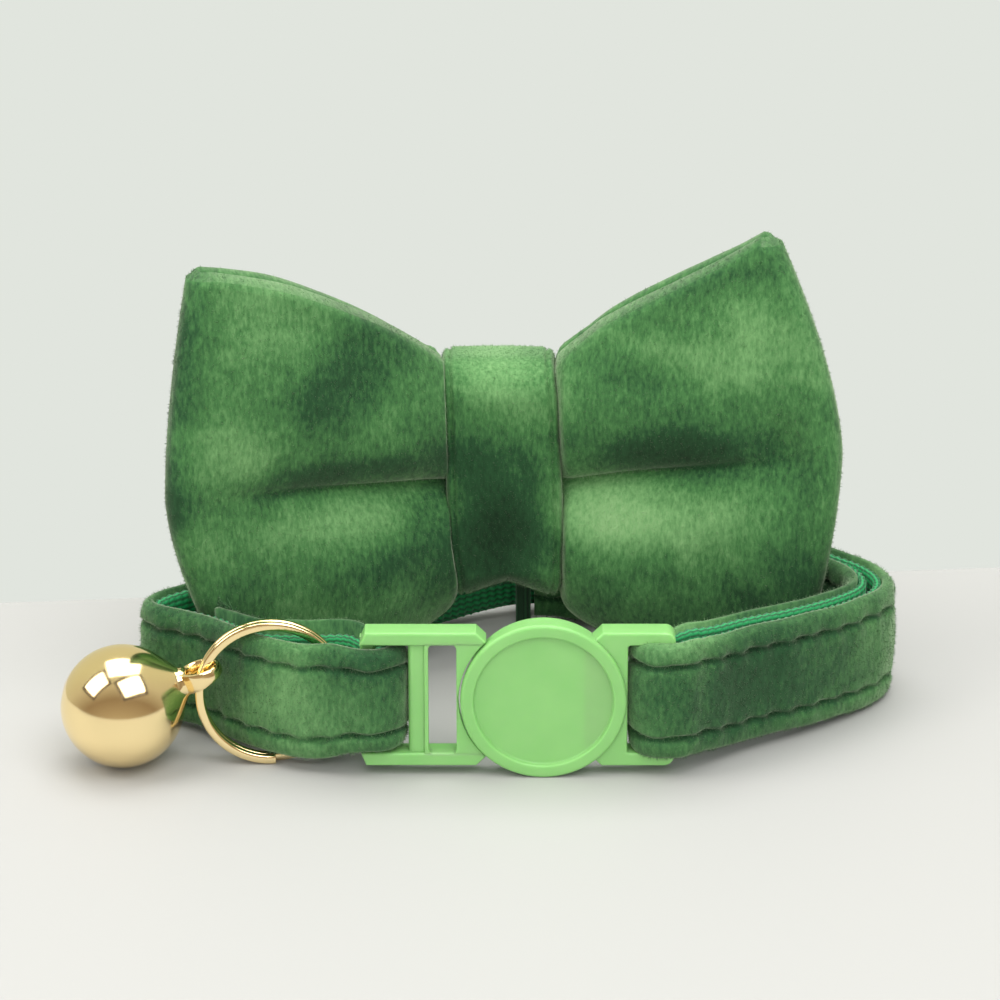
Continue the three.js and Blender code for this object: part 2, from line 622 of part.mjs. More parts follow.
// Section of the knot's band: shares of its half width and of its wall
const KNOT_SECTION = [
  { x: -1, wall: 0 }, { x: -1, wall: 0.7 }, { x: -0.93, wall: 1 }, { x: -0.82, wall: 0.8 },
  { x: 0, wall: 1 }, { x: 0.82, wall: 0.8 }, { x: 0.93, wall: 1 }, { x: 1, wall: 0.7 }, { x: 1, wall: 0 },
];

// The knot: a band of velvet wrapped once round the gathered middle of the bow
function bowKnot() {
  const outline = roundedBox(-KNOT_DEPTH / 2, KNOT_DEPTH / 2,
    -KNOT_HEIGHT / 2, KNOT_HEIGHT / 2, KNOT_CORNER);
  const path = outline.getSpacedPoints(KNOT_STEPS).slice(0, -1);
  const rings = path.map((p, i) => {
    const before = path.at(i - 1);
    const after = path[(i + 1) % path.length];
    const out = new THREE.Vector2(after.y - before.y, before.x - after.x).normalize();
    return KNOT_SECTION.map((row) => {
      const inward = KNOT_WALL * (1 - row.wall);
      return new THREE.Vector3(BOW_SHIFT + row.x * KNOT_WIDTH / 2,
        bowAxisY + p.x - out.x * inward, BOW_CENTRE_Z + p.y - out.y * inward);
    });
  });
  return skin(rings, true);
}

// Elastic that runs from the back of the knot round the strap, as one closed band
function elastic(strapBack) {
  const front = bowAxisY + KNOT_DEPTH / 2 + FIT;
  const back = strapBack + FIT + ELASTIC_THICK;
  const top = STRAP_WIDTH + ELASTIC_THICK + ELASTIC_TOP;
  const outline = roundedBox(front, back, 0, top, ELASTIC_THICK * 2);
  const hole = roundedBox(front + ELASTIC_THICK, back - ELASTIC_THICK,
    ELASTIC_THICK, top - ELASTIC_THICK, ELASTIC_THICK);
  outline.holes.push(hole);
  const geometry = new THREE.ExtrudeGeometry(outline,
    { depth: ELASTIC_WIDTH, bevelEnabled: false, curveSegments: CORNER_STEPS });
  geometry.rotateX(Math.PI / 2);
  geometry.rotateZ(Math.PI / 2);
  geometry.translate(ELASTIC_X - ELASTIC_WIDTH / 2, 0, 0);
  return geometry;
}

const collar = new THREE.Group();

function place(name, geometry, material, parent = collar) {
  const mesh = new THREE.Mesh(geometry, material);
  mesh.name = name;
  parent.add(mesh);
  return mesh;
}

const stations = strapStations();
place('strap_velvet', strapLayer(stations, VELVET_SECTION, SEWN_GAP / 2, VELVET, 1), GREEN_VELVET);
place('strap_webbing',
  strapLayer(stations, WEBBING_SECTION, -SEWN_GAP / 2, -WEBBING, WEBBING_SHARE), GREEN_WEBBING);

const buckle = new THREE.Group();
buckle.position.z = buckleZ;
collar.add(buckle);
place('buckle_male', buckleMale(), LIGHT_PLASTIC, buckle);
place('buckle_female', buckleFemale(), LIGHT_PLASTIC, buckle);

// The ring goes round the outer strap layer where that leaves the left bar
const ring = new THREE.Group();
ring.rotation.set(rad(-RING_LEAN), 0, rad(RING_YAW));
const ringRise = RING_COIL_THICK * Math.sin(rad(RING_LEAN));
ring.position.set(RING_X, RING_Y, RING_DIAMETER / 2 * Math.cos(rad(RING_LEAN)) + ringRise);
collar.add(ring);
place('split_ring', splitRing(), GOLD_PLATE, ring);

// The bell lies on the table, and its bail leans up round the left side of the ring
const bellGroup = new THREE.Group();
const bailZ = bellRadius + bailReach * Math.sin(rad(BELL_TILT));
const wireOut = Math.sqrt(ringRadius ** 2 - (bailZ - ring.position.z) ** 2);
const bailX = RING_X - wireOut * Math.cos(rad(RING_YAW));
const bailY = RING_Y - wireOut * Math.sin(rad(RING_YAW));
bellGroup.rotation.y = rad(90 - BELL_TILT);
bellGroup.position.set(bailX - bailReach * Math.cos(rad(BELL_TILT)), bailY, bellRadius);
collar.add(bellGroup);
place('bell', bell(), GOLD_PLATE, bellGroup);
const ball = new THREE.SphereGeometry(PELLET_DIAMETER / 2, HOLE_STEPS, HOLE_STEPS);
const pellet = place('bell_pellet', ball, STEEL);
pellet.position.copy(bellGroup.position);
pellet.position.z -= bellRadius - BELL_WALL - FIT - PELLET_DIAMETER / 2;

place('bow_body', bowBody(), GREEN_VELVET);
place('bow_knot', bowKnot(), GREEN_VELVET);
const nearElastic = stations.filter(
  (s) => Math.abs(s.point.x - ELASTIC_X) < STRAP_STEP + ELASTIC_WIDTH);
const velvetBack = nearElastic.map((s) => s.point.y + s.side.y * (SEWN_GAP / 2 + PILE_CROWN * VELVET));
place('bow_elastic', elastic(Math.max(...velvetBack)), GREEN_WEBBING);

// The origin is the middle of the bottom of the whole collar
const bounds = new THREE.Box3().setFromObject(collar, true);
const middle = bounds.getCenter(new THREE.Vector3());
for (const child of collar.children) {
  child.position.x -= middle.x;
  child.position.y -= middle.y;
  child.position.z -= bounds.min.z;
}

export default collar;
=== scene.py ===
# %% [markdown]
# # A velvet bow tie collar for a cat
# The collar stands on its edge on a pale table. Each cell below first says what a piece is on
# the real collar, how it could be made in Blender, and why it is made this way here. The
# hard-to-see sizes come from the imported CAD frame, so the pieces sit where its solids are.

# %% Load the frame
import math

import bpy
import numpy as np
from mathutils import Matrix, Vector, geometry, noise


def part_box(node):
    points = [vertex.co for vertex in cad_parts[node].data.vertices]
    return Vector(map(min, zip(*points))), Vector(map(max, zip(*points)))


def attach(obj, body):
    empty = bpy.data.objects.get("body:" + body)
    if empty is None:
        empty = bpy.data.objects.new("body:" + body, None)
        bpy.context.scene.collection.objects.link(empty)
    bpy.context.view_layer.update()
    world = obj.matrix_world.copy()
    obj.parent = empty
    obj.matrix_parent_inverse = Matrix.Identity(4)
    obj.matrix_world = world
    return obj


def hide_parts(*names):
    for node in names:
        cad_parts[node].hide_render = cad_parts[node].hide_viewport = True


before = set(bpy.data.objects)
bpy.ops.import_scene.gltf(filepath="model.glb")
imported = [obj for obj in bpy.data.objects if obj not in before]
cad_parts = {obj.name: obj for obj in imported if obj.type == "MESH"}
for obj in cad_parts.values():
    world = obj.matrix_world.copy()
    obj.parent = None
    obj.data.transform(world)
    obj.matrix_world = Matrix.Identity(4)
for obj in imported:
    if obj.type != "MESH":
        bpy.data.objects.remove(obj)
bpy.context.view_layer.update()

MM = 0.001
print("CAD nodes:", sorted(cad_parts))


def in_scene(name, data):
    """A new object, linked to the scene."""
    thing = bpy.data.objects.new(name, data)
    bpy.context.scene.collection.objects.link(thing)
    return thing

# %% [markdown]
# ## One place to measure from
# The maker of a buckle measures from the middle of its round front. All sizes here are in
# millimetres from that point, with the table at height zero, and one function turns them
# into Blender's metres. That keeps the numbers the same as those on the real collar.

# %% The middle of the buckle's front
DISC_RADIUS = 8.25
BUCKLE_Z = DISC_RADIUS
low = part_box("buckle_female")[0]
FRONT = np.array([low.x / MM + DISC_RADIUS, low.y / MM, 0.0])


def metres(points):
    """Points in millimetres from the buckle's front, as Blender's metres."""
    return (np.asarray(points, float) + FRONT) * MM


print("buckle front at", FRONT.round(3))

# %% [markdown]
# ## Camera
# The photograph looks down at the collar by some 22 degrees through a long lens. The place
# and the lens were found by laying the CAD solids over the photograph's outline.

# %% Camera
CAMERA_AT = (-4.3, -382.2, 182.4)
LOOK_DOWN = 21.76
LENS = 152.7

camera = in_scene("camera", bpy.data.cameras.new("camera"))
camera.location = Vector(metres(CAMERA_AT))
camera.rotation_euler = (math.radians(90 - LOOK_DOWN), 0, 0)
camera.data.lens = LENS
camera.data.sensor_width = 36
camera.data.clip_start = 0.01
camera.data.clip_end = 10
bpy.context.scene.camera = camera
bpy.context.scene.view_settings.view_transform = "Standard"
print("camera at", tuple(round(v, 4) for v in camera.location))

# %% [markdown]
# ## Small helpers for materials
# Colours are written as the hex values that a designer would pick on screen, so one function
# turns them to the linear values that Blender computes with. Another adds a node with its
# settings and links in one line, which keeps each material readable from top to bottom.

# %% Colours and nodes
def linear(hex_colour):
    """An sRGB hex colour as linear red, green, blue and alpha."""
    values = [int(hex_colour[i:i + 2], 16) / 255 for i in (0, 2, 4)]
    return [v / 12.92 if v <= 0.04045 else ((v + 0.055) / 1.055) ** 2.4 for v in values] + [1.0]


def add(material, kind, inputs=None, **settings):
    """Adds one node. Inputs are outputs to link or values, settings are inputs or properties."""
    tree = material.node_tree
    node = tree.nodes.new(kind)
    by_name = {socket.name.lower(): socket for socket in reversed(list(node.inputs))}
    for name, value in settings.items():
        socket = by_name.get(name.replace("_", " "))
        if socket is None:
            setattr(node, name, value)
        else:
            socket.default_value = value
    for name, value in (inputs or {}).items():
        if isinstance(value, bpy.types.NodeSocket):
            tree.links.new(value, node.inputs[name])
        else:
            node.inputs[name].default_value = value
    return node


def new_material(name):
    material = bpy.data.materials.new(name)
    material.use_nodes = True
    material.node_tree.nodes.clear()
    return material


def finish_material(material, inputs=None, **settings):
    """Adds the one surface shader and the output."""
    shader = add(material, "ShaderNodeBsdfPrincipled", inputs, **settings)
    add(material, "ShaderNodeOutputMaterial", {"Surface": shader.outputs[0]})
    print("material", material.name)
    return material


def ramp(material, factor, stops):
    """A colour ramp through (position, hex colour) stops."""
    node = add(material, "ShaderNodeValToRGB", {"Fac": factor})
    points = node.color_ramp.elements
    while len(points) < len(stops):
        points.new(0.5)
    for point, (position, colour) in zip(points, stops):
        point.position = position
        point.color = linear(colour)
    return node


# %% [markdown]
# ## Velvet
# Velvet is a short, dense pile of fibres that stand on a woven back. Seen end on it is deep
# green, and at a grazing angle the fibres' sides catch the light, so rims and folds look pale.
# Blender's sheen layer is made for this. Where a hand has brushed the pile it lies another way
# and looks lighter or darker, which a slow noise gives, and a fine noise gives the grain. A list
# of spots adds more such patches, and painted light and painted shade: lighter tops on the knot
# and on the lobes under the creases, darker creases, knot foot and right-hand strap.

# %% Velvet
PATCH_MM = 13.0
GRAIN_MM = 0.42  # real pile is finer, about 0.1 mm, and this is as fine as the picture shows
PILE_BUMP_MM = 0.12
STREAK = 0.4  # the grain is longer than wide, because the pile lies downward
NATURAL = 0.78  # how much the pile varies by itself


# Brushed pile, and painted light and painted shade as light falls from above: a lighter knot top
# and lobe tops under the creases, darker creases, knot foot and right-hand strap.
# Columns: x, height, reach in x, reach in height, lighter (+) or darker (-)
BRUSHED_AND_PAINTED_LIGHT = [
    (-22.0, 33.0, 8.0, 6.0, -0.09), (-30.5, 27.0, 5.0, 3.0, 0.10), (-38.5, 22.0, 2.5, 14.0, -0.16),
    (-36.0, 37.0, 3.0, 7.0, -0.10), (-31.0, 11.0, 4.0, 5.0, -0.12), (-20.0, 24.0, 12.0, 2.2, -0.18),
    (-20.0, 18.6, 11.0, 1.6, 0.08), (-4.3, 33.0, 5.5, 4.5, 0.13), (-4.3, 15.5, 5.0, 7.0, -0.28),
    (9.4, 17.5, 9.0, 4.0, 0.24), (13.4, 25.0, 10.0, 3.0, -0.20), (20.0, 38.0, 7.0, 6.0, 0.03),
    (22.0, 7.0, 11.0, 6.0, -0.18), (-17.0, 13.0, 9.0, 3.0, -0.12), (-22.0, 7.0, 7.0, 6.0, 0.08)]


def brushed_and_painted_light(points):
    """Pile tone at points in millimetres: brushed patches, painted light and painted shade."""
    x, z = points[:, 0], points[:, 2]
    return sum(much * np.exp(-((x - at) / wide) ** 2 - ((z - height) / tall) ** 2)
               for at, height, wide, tall, much in BRUSHED_AND_PAINTED_LIGHT)


def velvet(name, darkest, dark, middle, light, lightest, sheen_colour):
    """Brushed pile. The base colour is dark because the sheen adds light at every edge."""
    material = new_material(name)
    place = add(material, "ShaderNodeTexCoord").outputs["Object"]
    patches = add(material, "ShaderNodeTexNoise", {"Vector": place},
                  scale=1 / (PATCH_MM * MM), detail=3.0, roughness=0.55, distortion=0.6)
    upright = add(material, "ShaderNodeMapping", {"Vector": place}, scale=(1.0, 1.0, STREAK))
    grain = add(material, "ShaderNodeTexNoise", {"Vector": upright.outputs["Vector"]},
                scale=1 / (GRAIN_MM * MM), detail=4.0, roughness=0.65)
    both = add(material, "ShaderNodeMix", {"A": patches.outputs["Fac"], "B": grain.outputs["Fac"]},
               factor=0.45)
    # The per-point value holds brushed pile and painted light and painted shade
    lay_and_painted_light = add(material, "ShaderNodeAttribute", attribute_name="brushed_and_painted_light").outputs["Fac"]
    tone_and_painted_light = add(material, "ShaderNodeMath", {0: both.outputs["Result"], 1: NATURAL, 2: lay_and_painted_light},
               operation="MULTIPLY_ADD")
    shade = ramp(material, tone_and_painted_light.outputs[0], [
        (0.09, darkest), (0.27, dark), (0.39, middle), (0.53, light), (0.84, lightest)])
    bump = add(material, "ShaderNodeBump", {"Height": grain.outputs["Fac"]},
               strength=0.55, distance=PILE_BUMP_MM * MM)
    return finish_material(
        material, {"Base Color": shade.outputs["Color"], "Normal": bump.outputs["Normal"]},
        roughness=0.95, specular_ior_level=0.15, sheen_weight=0.55, sheen_roughness=0.42,
        sheen_tint=linear(sheen_colour))


STRAP_VELVET = velvet(
    "strap_velvet_pile", "142d1b", "264b2d", "416c3f", "618c58", "8cb07a", "d0e0c0")
BOW_VELVET = velvet(
    "bow_velvet_pile", "142d1a", "254a2c", "437240", "6a965f", "9ab985", "d8e4c6")

# %% [markdown]
# ## Nylon webbing and elastic
# The strap's inside is woven nylon, a brighter and cleaner green than the velvet, with a
# slight gloss. Its ribs are real geometry further down, and the material only adds the
# crossing threads, some half a millimetre apart.

# %% Webbing and elastic
THREAD_MM = 0.5


def woven(name, dark, light, roughness):
    """Woven threads, seen as a fine row of crossings."""
    material = new_material(name)
    place = add(material, "ShaderNodeUVMap").outputs["UV"]
    threads = add(material, "ShaderNodeTexWave", {"Vector": place},
                  scale=1 / (THREAD_MM * MM * 2 * math.pi) * 2, distortion=1.2, detail=2.0,
                  bands_direction="Y")
    shade = ramp(material, threads.outputs["Fac"], [(0.1, dark), (0.8, light)])
    bump = add(material, "ShaderNodeBump", {"Height": threads.outputs["Fac"]},
               strength=0.5, distance=0.06 * MM)
    return finish_material(
        material, {"Base Color": shade.outputs["Color"], "Normal": bump.outputs["Normal"]},
        roughness=roughness, sheen_weight=0.2)


WEBBING_NYLON = woven("ribbed_nylon_webbing", "03562c", "0c9250", 0.6)
ELASTIC_CLOTH = woven("narrow_elastic", "0c2a17", "1d4a2a", 0.8)
SEWING_THREAD = woven("polyester_sewing_thread", "173b20", "28593a", 0.6)

# %% [markdown]
# ## Moulded plastic
# The buckle is moulded in a pale green polypropylene or acetal. Light enters such plastic and
# comes out a little further on, so its edges glow. A small subsurface share does that. The
# mould leaves a satin face with a hardly seen unevenness.

# %% Plastic
def moulded(name, colour, roughness):
    material = new_material(name)
    place = add(material, "ShaderNodeTexCoord").outputs["Object"]
    cloud = add(material, "ShaderNodeTexNoise", {"Vector": place}, scale=1 / (4.0 * MM), detail=2.0)
    shade = ramp(material, cloud.outputs["Fac"], [(0.3, colour[0]), (0.7, colour[1])])
    orange_peel = add(material, "ShaderNodeTexNoise", {"Vector": place}, scale=1 / (0.5 * MM))
    bump = add(material, "ShaderNodeBump", {"Height": orange_peel.outputs["Fac"]},
               strength=0.08, distance=0.02 * MM)
    return finish_material(
        material, {"Base Color": shade.outputs["Color"], "Normal": bump.outputs["Normal"]},
        roughness=roughness, ior=1.49, subsurface_weight=0.35,
        subsurface_radius=(0.6, 1.0, 0.4), subsurface_scale=1.2 * MM)


BUCKLE_PLASTIC = moulded("moulded_pale_green_plastic", ("7fb96b", "85bd70"), 0.36)

# %% [markdown]
# ## Gold plate and steel
# The ring and the bell are steel with a thin, bright, pale gold plating. It is a true metal
# surface, so it takes its look from what it mirrors, and only a faint haze and a few tiny pits
# break the mirror.

# %% Plated metal
def plated(name, colour, roughness):
    material = new_material(name)
    place = add(material, "ShaderNodeTexCoord").outputs["Object"]
    haze = add(material, "ShaderNodeTexNoise", {"Vector": place}, scale=1 / (1.5 * MM), detail=3.0)
    rough = add(material, "ShaderNodeMapRange", {"Value": haze.outputs["Fac"]},
                to_min=roughness * 0.7, to_max=roughness * 1.4)
    bump = add(material, "ShaderNodeBump", {"Height": haze.outputs["Fac"]},
               strength=0.05, distance=0.03 * MM)
    return finish_material(
        material, {"Roughness": rough.outputs["Result"], "Normal": bump.outputs["Normal"]},
        base_color=linear(colour), metallic=1.0)


GOLD_PLATE = plated("bright_gold_plate", "fee7b0", 0.12)
PLAIN_STEEL = plated("plain_steel", "b4b4b2", 0.3)

# %% [markdown]
# ## Table, wall and light
# The collar stands near the back edge of a white table, with a pale grey-green wall behind.
# The table is a slab that ends along that edge. The wall is only a colour of the world, so
# that it never hides the collar from another side. The light is soft and comes mostly from
# above and the left, as from a window, with a weaker one from the right.

# %% Table
TABLE_EDGE = ((-58.9, 44.4), (50.0, 54.3))
TABLE_REACH = 1500.0
TABLE_THICK = 30.0


def slab(name, corners, top, bottom, material, origin=FRONT):
    """A slab on the given corners, in millimetres from the origin."""
    count = len(corners)
    points = np.array([(x, y, z) for z in (top, bottom) for x, y in corners]) + origin
    faces = [tuple(range(count)), tuple(reversed(range(count, 2 * count)))]
    for i in range(count):
        j = (i + 1) % count
        faces.append((j, i, i + count, j + count))
    mesh = bpy.data.meshes.new(name)
    mesh.from_pydata((points * MM).tolist(), [], faces)
    mesh.materials.append(material)
    return in_scene(name, mesh)


def painted(name, colour, roughness):
    return finish_material(new_material(name), base_color=linear(colour), roughness=roughness)


(x0, y0), (x1, y1) = TABLE_EDGE
slope = (y1 - y0) / (x1 - x0)
far_edge = [(x, y0 + slope * (x - x0)) for x in (TABLE_REACH, -TABLE_REACH)]
table = slab("table", [(-TABLE_REACH, -TABLE_REACH), (TABLE_REACH, -TABLE_REACH), *far_edge],
             0.0, -TABLE_THICK, painted("matt_white_board", "aeaeab", 0.6))

# %% World and lights
world = bpy.data.worlds.new("studio")
bpy.context.scene.world = world
world.use_nodes = True
world.node_tree.nodes.clear()
wall = add(world, "ShaderNodeBackground", color=linear("e1e5de"), strength=1.0)
around = add(world, "ShaderNodeBackground", color=linear("f0f1ee"), strength=0.86)
way = add(world, "ShaderNodeTexCoord").outputs["Generated"]
back_and_up = add(world, "ShaderNodeVectorMath", {0: way, 1: (0.0, 0.8, 0.6)},
                  operation="DOT_PRODUCT")
share = add(world, "ShaderNodeMapRange", {"Value": back_and_up.outputs["Value"]}, from_min=-1.0)
room_shade = ramp(world, share.outputs["Result"], [
    (0.0, "c9c1b4"), (0.12, "b3a48f"), (0.36, "95836f"), (0.62, "c9c3b2"), (0.85, "d4d3bc")])
room = add(world, "ShaderNodeBackground", {"Color": room_shade.outputs["Color"]}, strength=1.0)
seen = add(world, "ShaderNodeLightPath")
mirrored = add(world, "ShaderNodeMixShader", {
    0: seen.outputs["Is Glossy Ray"], 1: around.outputs[0], 2: room.outputs[0]})
mixed = add(world, "ShaderNodeMixShader", {
    0: seen.outputs["Is Camera Ray"], 1: mirrored.outputs[0], 2: wall.outputs[0]})
add(world, "ShaderNodeOutputWorld", {"Surface": mixed.outputs[0]})


def soft_light(name, at, toward, size, power, colour="ffffff"):
    """A large square light at a place, turned to a point, all in millimetres."""
    data = bpy.data.lights.new(name, "AREA")
    data.shape = "RECTANGLE"
    data.size, data.size_y = size[0] * MM, size[1] * MM
    data.energy = power
    data.color = linear(colour)[:3]
    light = in_scene(name, data)
    light.location = Vector(metres(at))
    aim = Vector(metres(toward)) - light.location
    light.rotation_euler = aim.to_track_quat("-Z", "Y").to_euler()
    return light


CARD_THICK = 4.0
CARD_BEHIND = 14.0


def dark_card(name, light, size):
    """A dark board behind a light. Polished metal mirrors it as a dark rim round the light."""
    x, y = size[0] / 2, size[1] / 2
    card = slab(name, [(-x, -y), (x, -y), (x, y), (-x, y)], CARD_BEHIND + CARD_THICK, CARD_BEHIND,
                CARD_PAINT, origin=0.0)
    card.matrix_world = light.matrix_basis


CARD_PAINT = painted("matt_brown_card", "3b241c", 0.8)
window = soft_light("window_left", (-440, -100, 450), (-20, 10, 10), (300, 360), 1.75, "fffcf8")
overhead = soft_light("window_high", (170, -245, 515), (-10, 10, 12), (440, 340), 2.3)
soft_light("sky_above", (-10, 150, 620), (0, 50, 0), (560, 460), 2.8)
fill = soft_light("fill_front", (-30, -520, 260), (0, 20, 10), (620, 420), 1.5)
fill.visible_glossy = False  # it only lifts the shadows, as the pale room round the camera does
dark_card("card_left", window, (430, 500))
dark_card("card_high", overhead, (600, 500))

# %% [markdown]
# ## From rows of points to a mesh
# Nearly every piece is a row of rings: cross-sections that follow each other along the
# piece. One function skins them with quads, closes or caps the row, and lays a UV map in real
# metres, so that threads and grain have their true size on every piece.

# %% Skinning rings
def add_piece(name, points, faces, material, uv=None, crisp=None):
    """A mesh object from points in millimetres, riding on the collar's one body."""
    mesh = bpy.data.meshes.new(name)
    mesh.from_pydata(metres(points).tolist(), [], faces)
    if uv is not None:
        layer = mesh.uv_layers.new(name="cloth")
        index = np.empty(len(mesh.loops), int)
        mesh.loops.foreach_get("vertex_index", index)
        layer.data.foreach_set("uv", (np.asarray(uv)[index] * MM).ravel())
    mesh.materials.append(material)
    if material in (STRAP_VELVET, BOW_VELVET):
        # Each point's brushed pile, painted light and painted shade
        lay_and_painted_light = mesh.attributes.new("brushed_and_painted_light", "FLOAT", "POINT")
        lay_and_painted_light.data.foreach_set("value", brushed_and_painted_light(np.asarray(points, float)))
    mesh.validate()
    mesh.shade_smooth()
    if crisp is not None:
        mesh.set_sharp_from_angle(angle=math.radians(crisp))
    piece = in_scene(name, mesh)
    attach(piece, "root")
    print(name, len(mesh.vertices), "points,", sum(len(f) - 2 for f in faces), "triangles")
    return piece


def ring_faces(rows, count, closed, first=0, caps=True):
    """Quads between neighbouring rings. An open row gets a flat cap at each end."""
    faces = []
    for i in range(rows if closed else rows - 1):
        a = first + i * count
        b = first + (i + 1) % rows * count
        for j in range(count):
            k = (j + 1) % count
            faces.append((a + j, b + j, b + k, a + k))
    if caps and not closed:
        faces.append(tuple(first + j for j in range(count)))
        faces.append(tuple(first + (rows - 1) * count + j for j in reversed(range(count))))
    return faces


def skin(name, rings, material, closed=False, crisp=None):
    """Skins an array of rings: rows by points by x, y, z."""
    rings = np.asarray(rings, float)
    rows, count = rings.shape[:2]
    uv = np.broadcast_arrays(run_along(rings.mean(1))[:, None], run_along(rings[0])[None, :])
    points = rings.reshape(-1, 3)
    faces = facing_out(points, ring_faces(rows, count, closed))
    return add_piece(name, points, faces, material, np.stack(uv, -1).reshape(-1, 2), crisp)


def facing_out(points, faces):
    """The faces of a closed skin, all turned over if they look inward."""
    volume = 0.0
    for face in faces:
        a = points[face[0]]
        for b, c in zip(face[1:-1], face[2:]):
            volume += np.dot(a, np.cross(points[b], points[c]))
    return [tuple(reversed(f)) for f in faces] if volume < 0 else faces


def run_along(points, power=1):
    """The distance run at each point of a line."""
    steps = np.linalg.norm(np.diff(points, axis=0), axis=1) ** power
    return np.concatenate([[0], np.cumsum(steps)])


def unit(vectors):
    return vectors / np.linalg.norm(vectors, axis=-1)[..., None]


def smoothstep(t):
    t = np.clip(t, 0.0, 1.0)
    return t * t * (3 - 2 * t)


def arc(x, z, radius, start, end, steps=8):
    """Points on part of a circle, from one angle to another in degrees."""
    turn = np.radians(np.linspace(start, end, steps + 1))
    return [(x + radius * math.cos(t), z + radius * math.sin(t)) for t in turn]


def round_corners(x, half_x, half_z, corner, steps=8):
    """A rectangle with round corners about (x, 0), anticlockwise from its upper right."""
    return [point for way_x, way_z, start in ((1, 1, 0), (-1, 1, 90), (-1, -1, 180), (1, -1, 270))
            for point in arc(x + way_x * (half_x - corner), way_z * (half_z - corner), corner,
                             start, start + 90, steps)]


# %% [markdown]
# ## The strap's path
# The strap is one ribbon. It starts raw inside on the left, folds round the left buckle bar,
# runs round the whole neck, folds round the right bar and goes back inside to the middle of
# the back. Its route is a list of bends, each a share of the loop's width and depth, joined by
# a curve that never overshoots its points, then cut into even steps.

# %% Bends of the loop
LOOP_WIDTH = 74.7
LOOP_LEFT = 39.6
LOOP_DEPTH = 41.2
BAR_Y = 2.6
FOLD_RADIUS = 1.65
MALE_FOLD_X = -16.88
FEMALE_FOLD_X = 11.73
PAST_BAR = 1.6
OUTER_LOOP = [
    (.262, .008), (.208, .032), (.148, .102), (.088, .220), (.048, .278), (.013, .318),
    (.000, .358), (.012, .397), (.040, .438), (.090, .512), (.169, .625), (.262, .752),
    (.369, .890), (.471, .975), (.570, 1.0), (.664, .976), (.771, .903), (.871, .802),
    (.945, .679), (.985, .598), (1.0, .517), (.992, .442), (.951, .346), (.876, .232),
    (.798, .134), (.739, .043)]
INNER_LEFT = [(.085, .274), (.149, .180), (.206, .160), (.262, .150)]
INNER_RIGHT = [
    (.739, .134), (.798, .211), (.876, .304), (.938, .404), (.964, .468), (.968, .534),
    (.946, .617), (.878, .716), (.784, .824), (.664, .908), (.570, .938), (.522, .936)]


def bends(shares):
    return [(x * LOOP_WIDTH - LOOP_LEFT, BAR_Y - FOLD_RADIUS + y * LOOP_DEPTH) for x, y in shares]


def blend(s, start, end, a, b):
    """Goes from a at the start to b at the end."""
    return (end - s) / (end - start) * a + (s - start) / (end - start) * b


def curve_through(points, step):
    """A centripetal curve through flat points, as points an even step apart."""
    p = np.array(points, float)
    p = np.vstack([2 * p[0] - p[1], p, 2 * p[-1] - p[-2]])
    out = []
    for i in range(1, len(p) - 2):
        t = run_along(p[i - 1:i + 3], 0.5)
        s = np.linspace(t[1], t[2], 24, endpoint=False)[:, None]
        a = [blend(s, t[k], t[k + 1], p[i - 1 + k], p[i + k]) for k in range(3)]
        b = [blend(s, t[k], t[k + 2], a[k], a[k + 1]) for k in range(2)]
        out.append(blend(s, t[1], t[2], *b))
    return even(np.vstack(out + [p[-2:-1]]), step)


def even(points, step):
    """The same line with its points an even step apart."""
    run = run_along(points)
    want = np.linspace(0, run[-1], max(int(round(run[-1] / step)), 1) + 1)
    return np.stack([np.interp(want, run, points[:, k]) for k in range(points.shape[1])], 1)


def fold_round(x, side):
    """Half a turn round a buckle bar."""
    turn = np.linspace(0, math.pi, 17)
    away = side * FOLD_RADIUS
    return np.stack([x + away * np.sin(turn), BAR_Y + away * np.cos(turn)], 1)


# %% The strap's stations
STRAP_STEP = 0.45
male_fold = fold_round(MALE_FOLD_X, 1)
female_fold = fold_round(FEMALE_FOLD_X, -1)
past = np.array([PAST_BAR, 0])
outer_run = curve_through(
    [male_fold[-1] - past, *bends(OUTER_LOOP), female_fold[0] + past], STRAP_STEP)
path = even(np.vstack([
    curve_through([*bends(INNER_LEFT), male_fold[0]], STRAP_STEP)[:-1], male_fold, outer_run,
    female_fold, curve_through([female_fold[-1], *bends(INNER_RIGHT)], STRAP_STEP)[1:]]), STRAP_STEP)
heading = unit(np.gradient(path, axis=0))
outward = np.stack([-heading[:, 1], heading[:, 0]], 1)
run = np.arange(len(path)) * STRAP_STEP
from_bar = np.min([np.hypot(path[:, 0] - x, path[:, 1] - BAR_Y)
                   for x in (MALE_FOLD_X, FEMALE_FOLD_X)], 0)


def along_strap(s, rows):
    """A row of flat points or directions, read at distances s along the strap."""
    return np.stack([np.interp(s, run, rows[:, k]) for k in (0, 1)], 1)


def ring_at(at, out, middle, section):
    """A ring at one station, from (height, distance outward) points of its cross-section."""
    return [(at[0] + out[0] * off, at[1] + out[1] * off, middle + h) for h, off in section]
print("strap ribbon length", round(run[-1], 1), "mm in", len(path), "stations")

# %% [markdown]
# ## How high the strap stands
# In the buckle's slot the strap is held narrow and high, level with the buckle. Away from it
# the strap widens and settles down on the table.

# %% Width and height along the strap
STRAP_WIDTH = 12.4
WIDTH_AT_BAR = 11.0
STRAP_SAG = 0.6
LIFT_LENGTH = 34.0
BAR_WIDTH = 1.55
FIT = 0.3
FOLD_OUTER = 3.18
ELASTIC_X = -1.8
ELASTIC_WIDTH = 1.6
ELASTIC_THICK = 0.6
BOW_AXIS_Y = 32.0

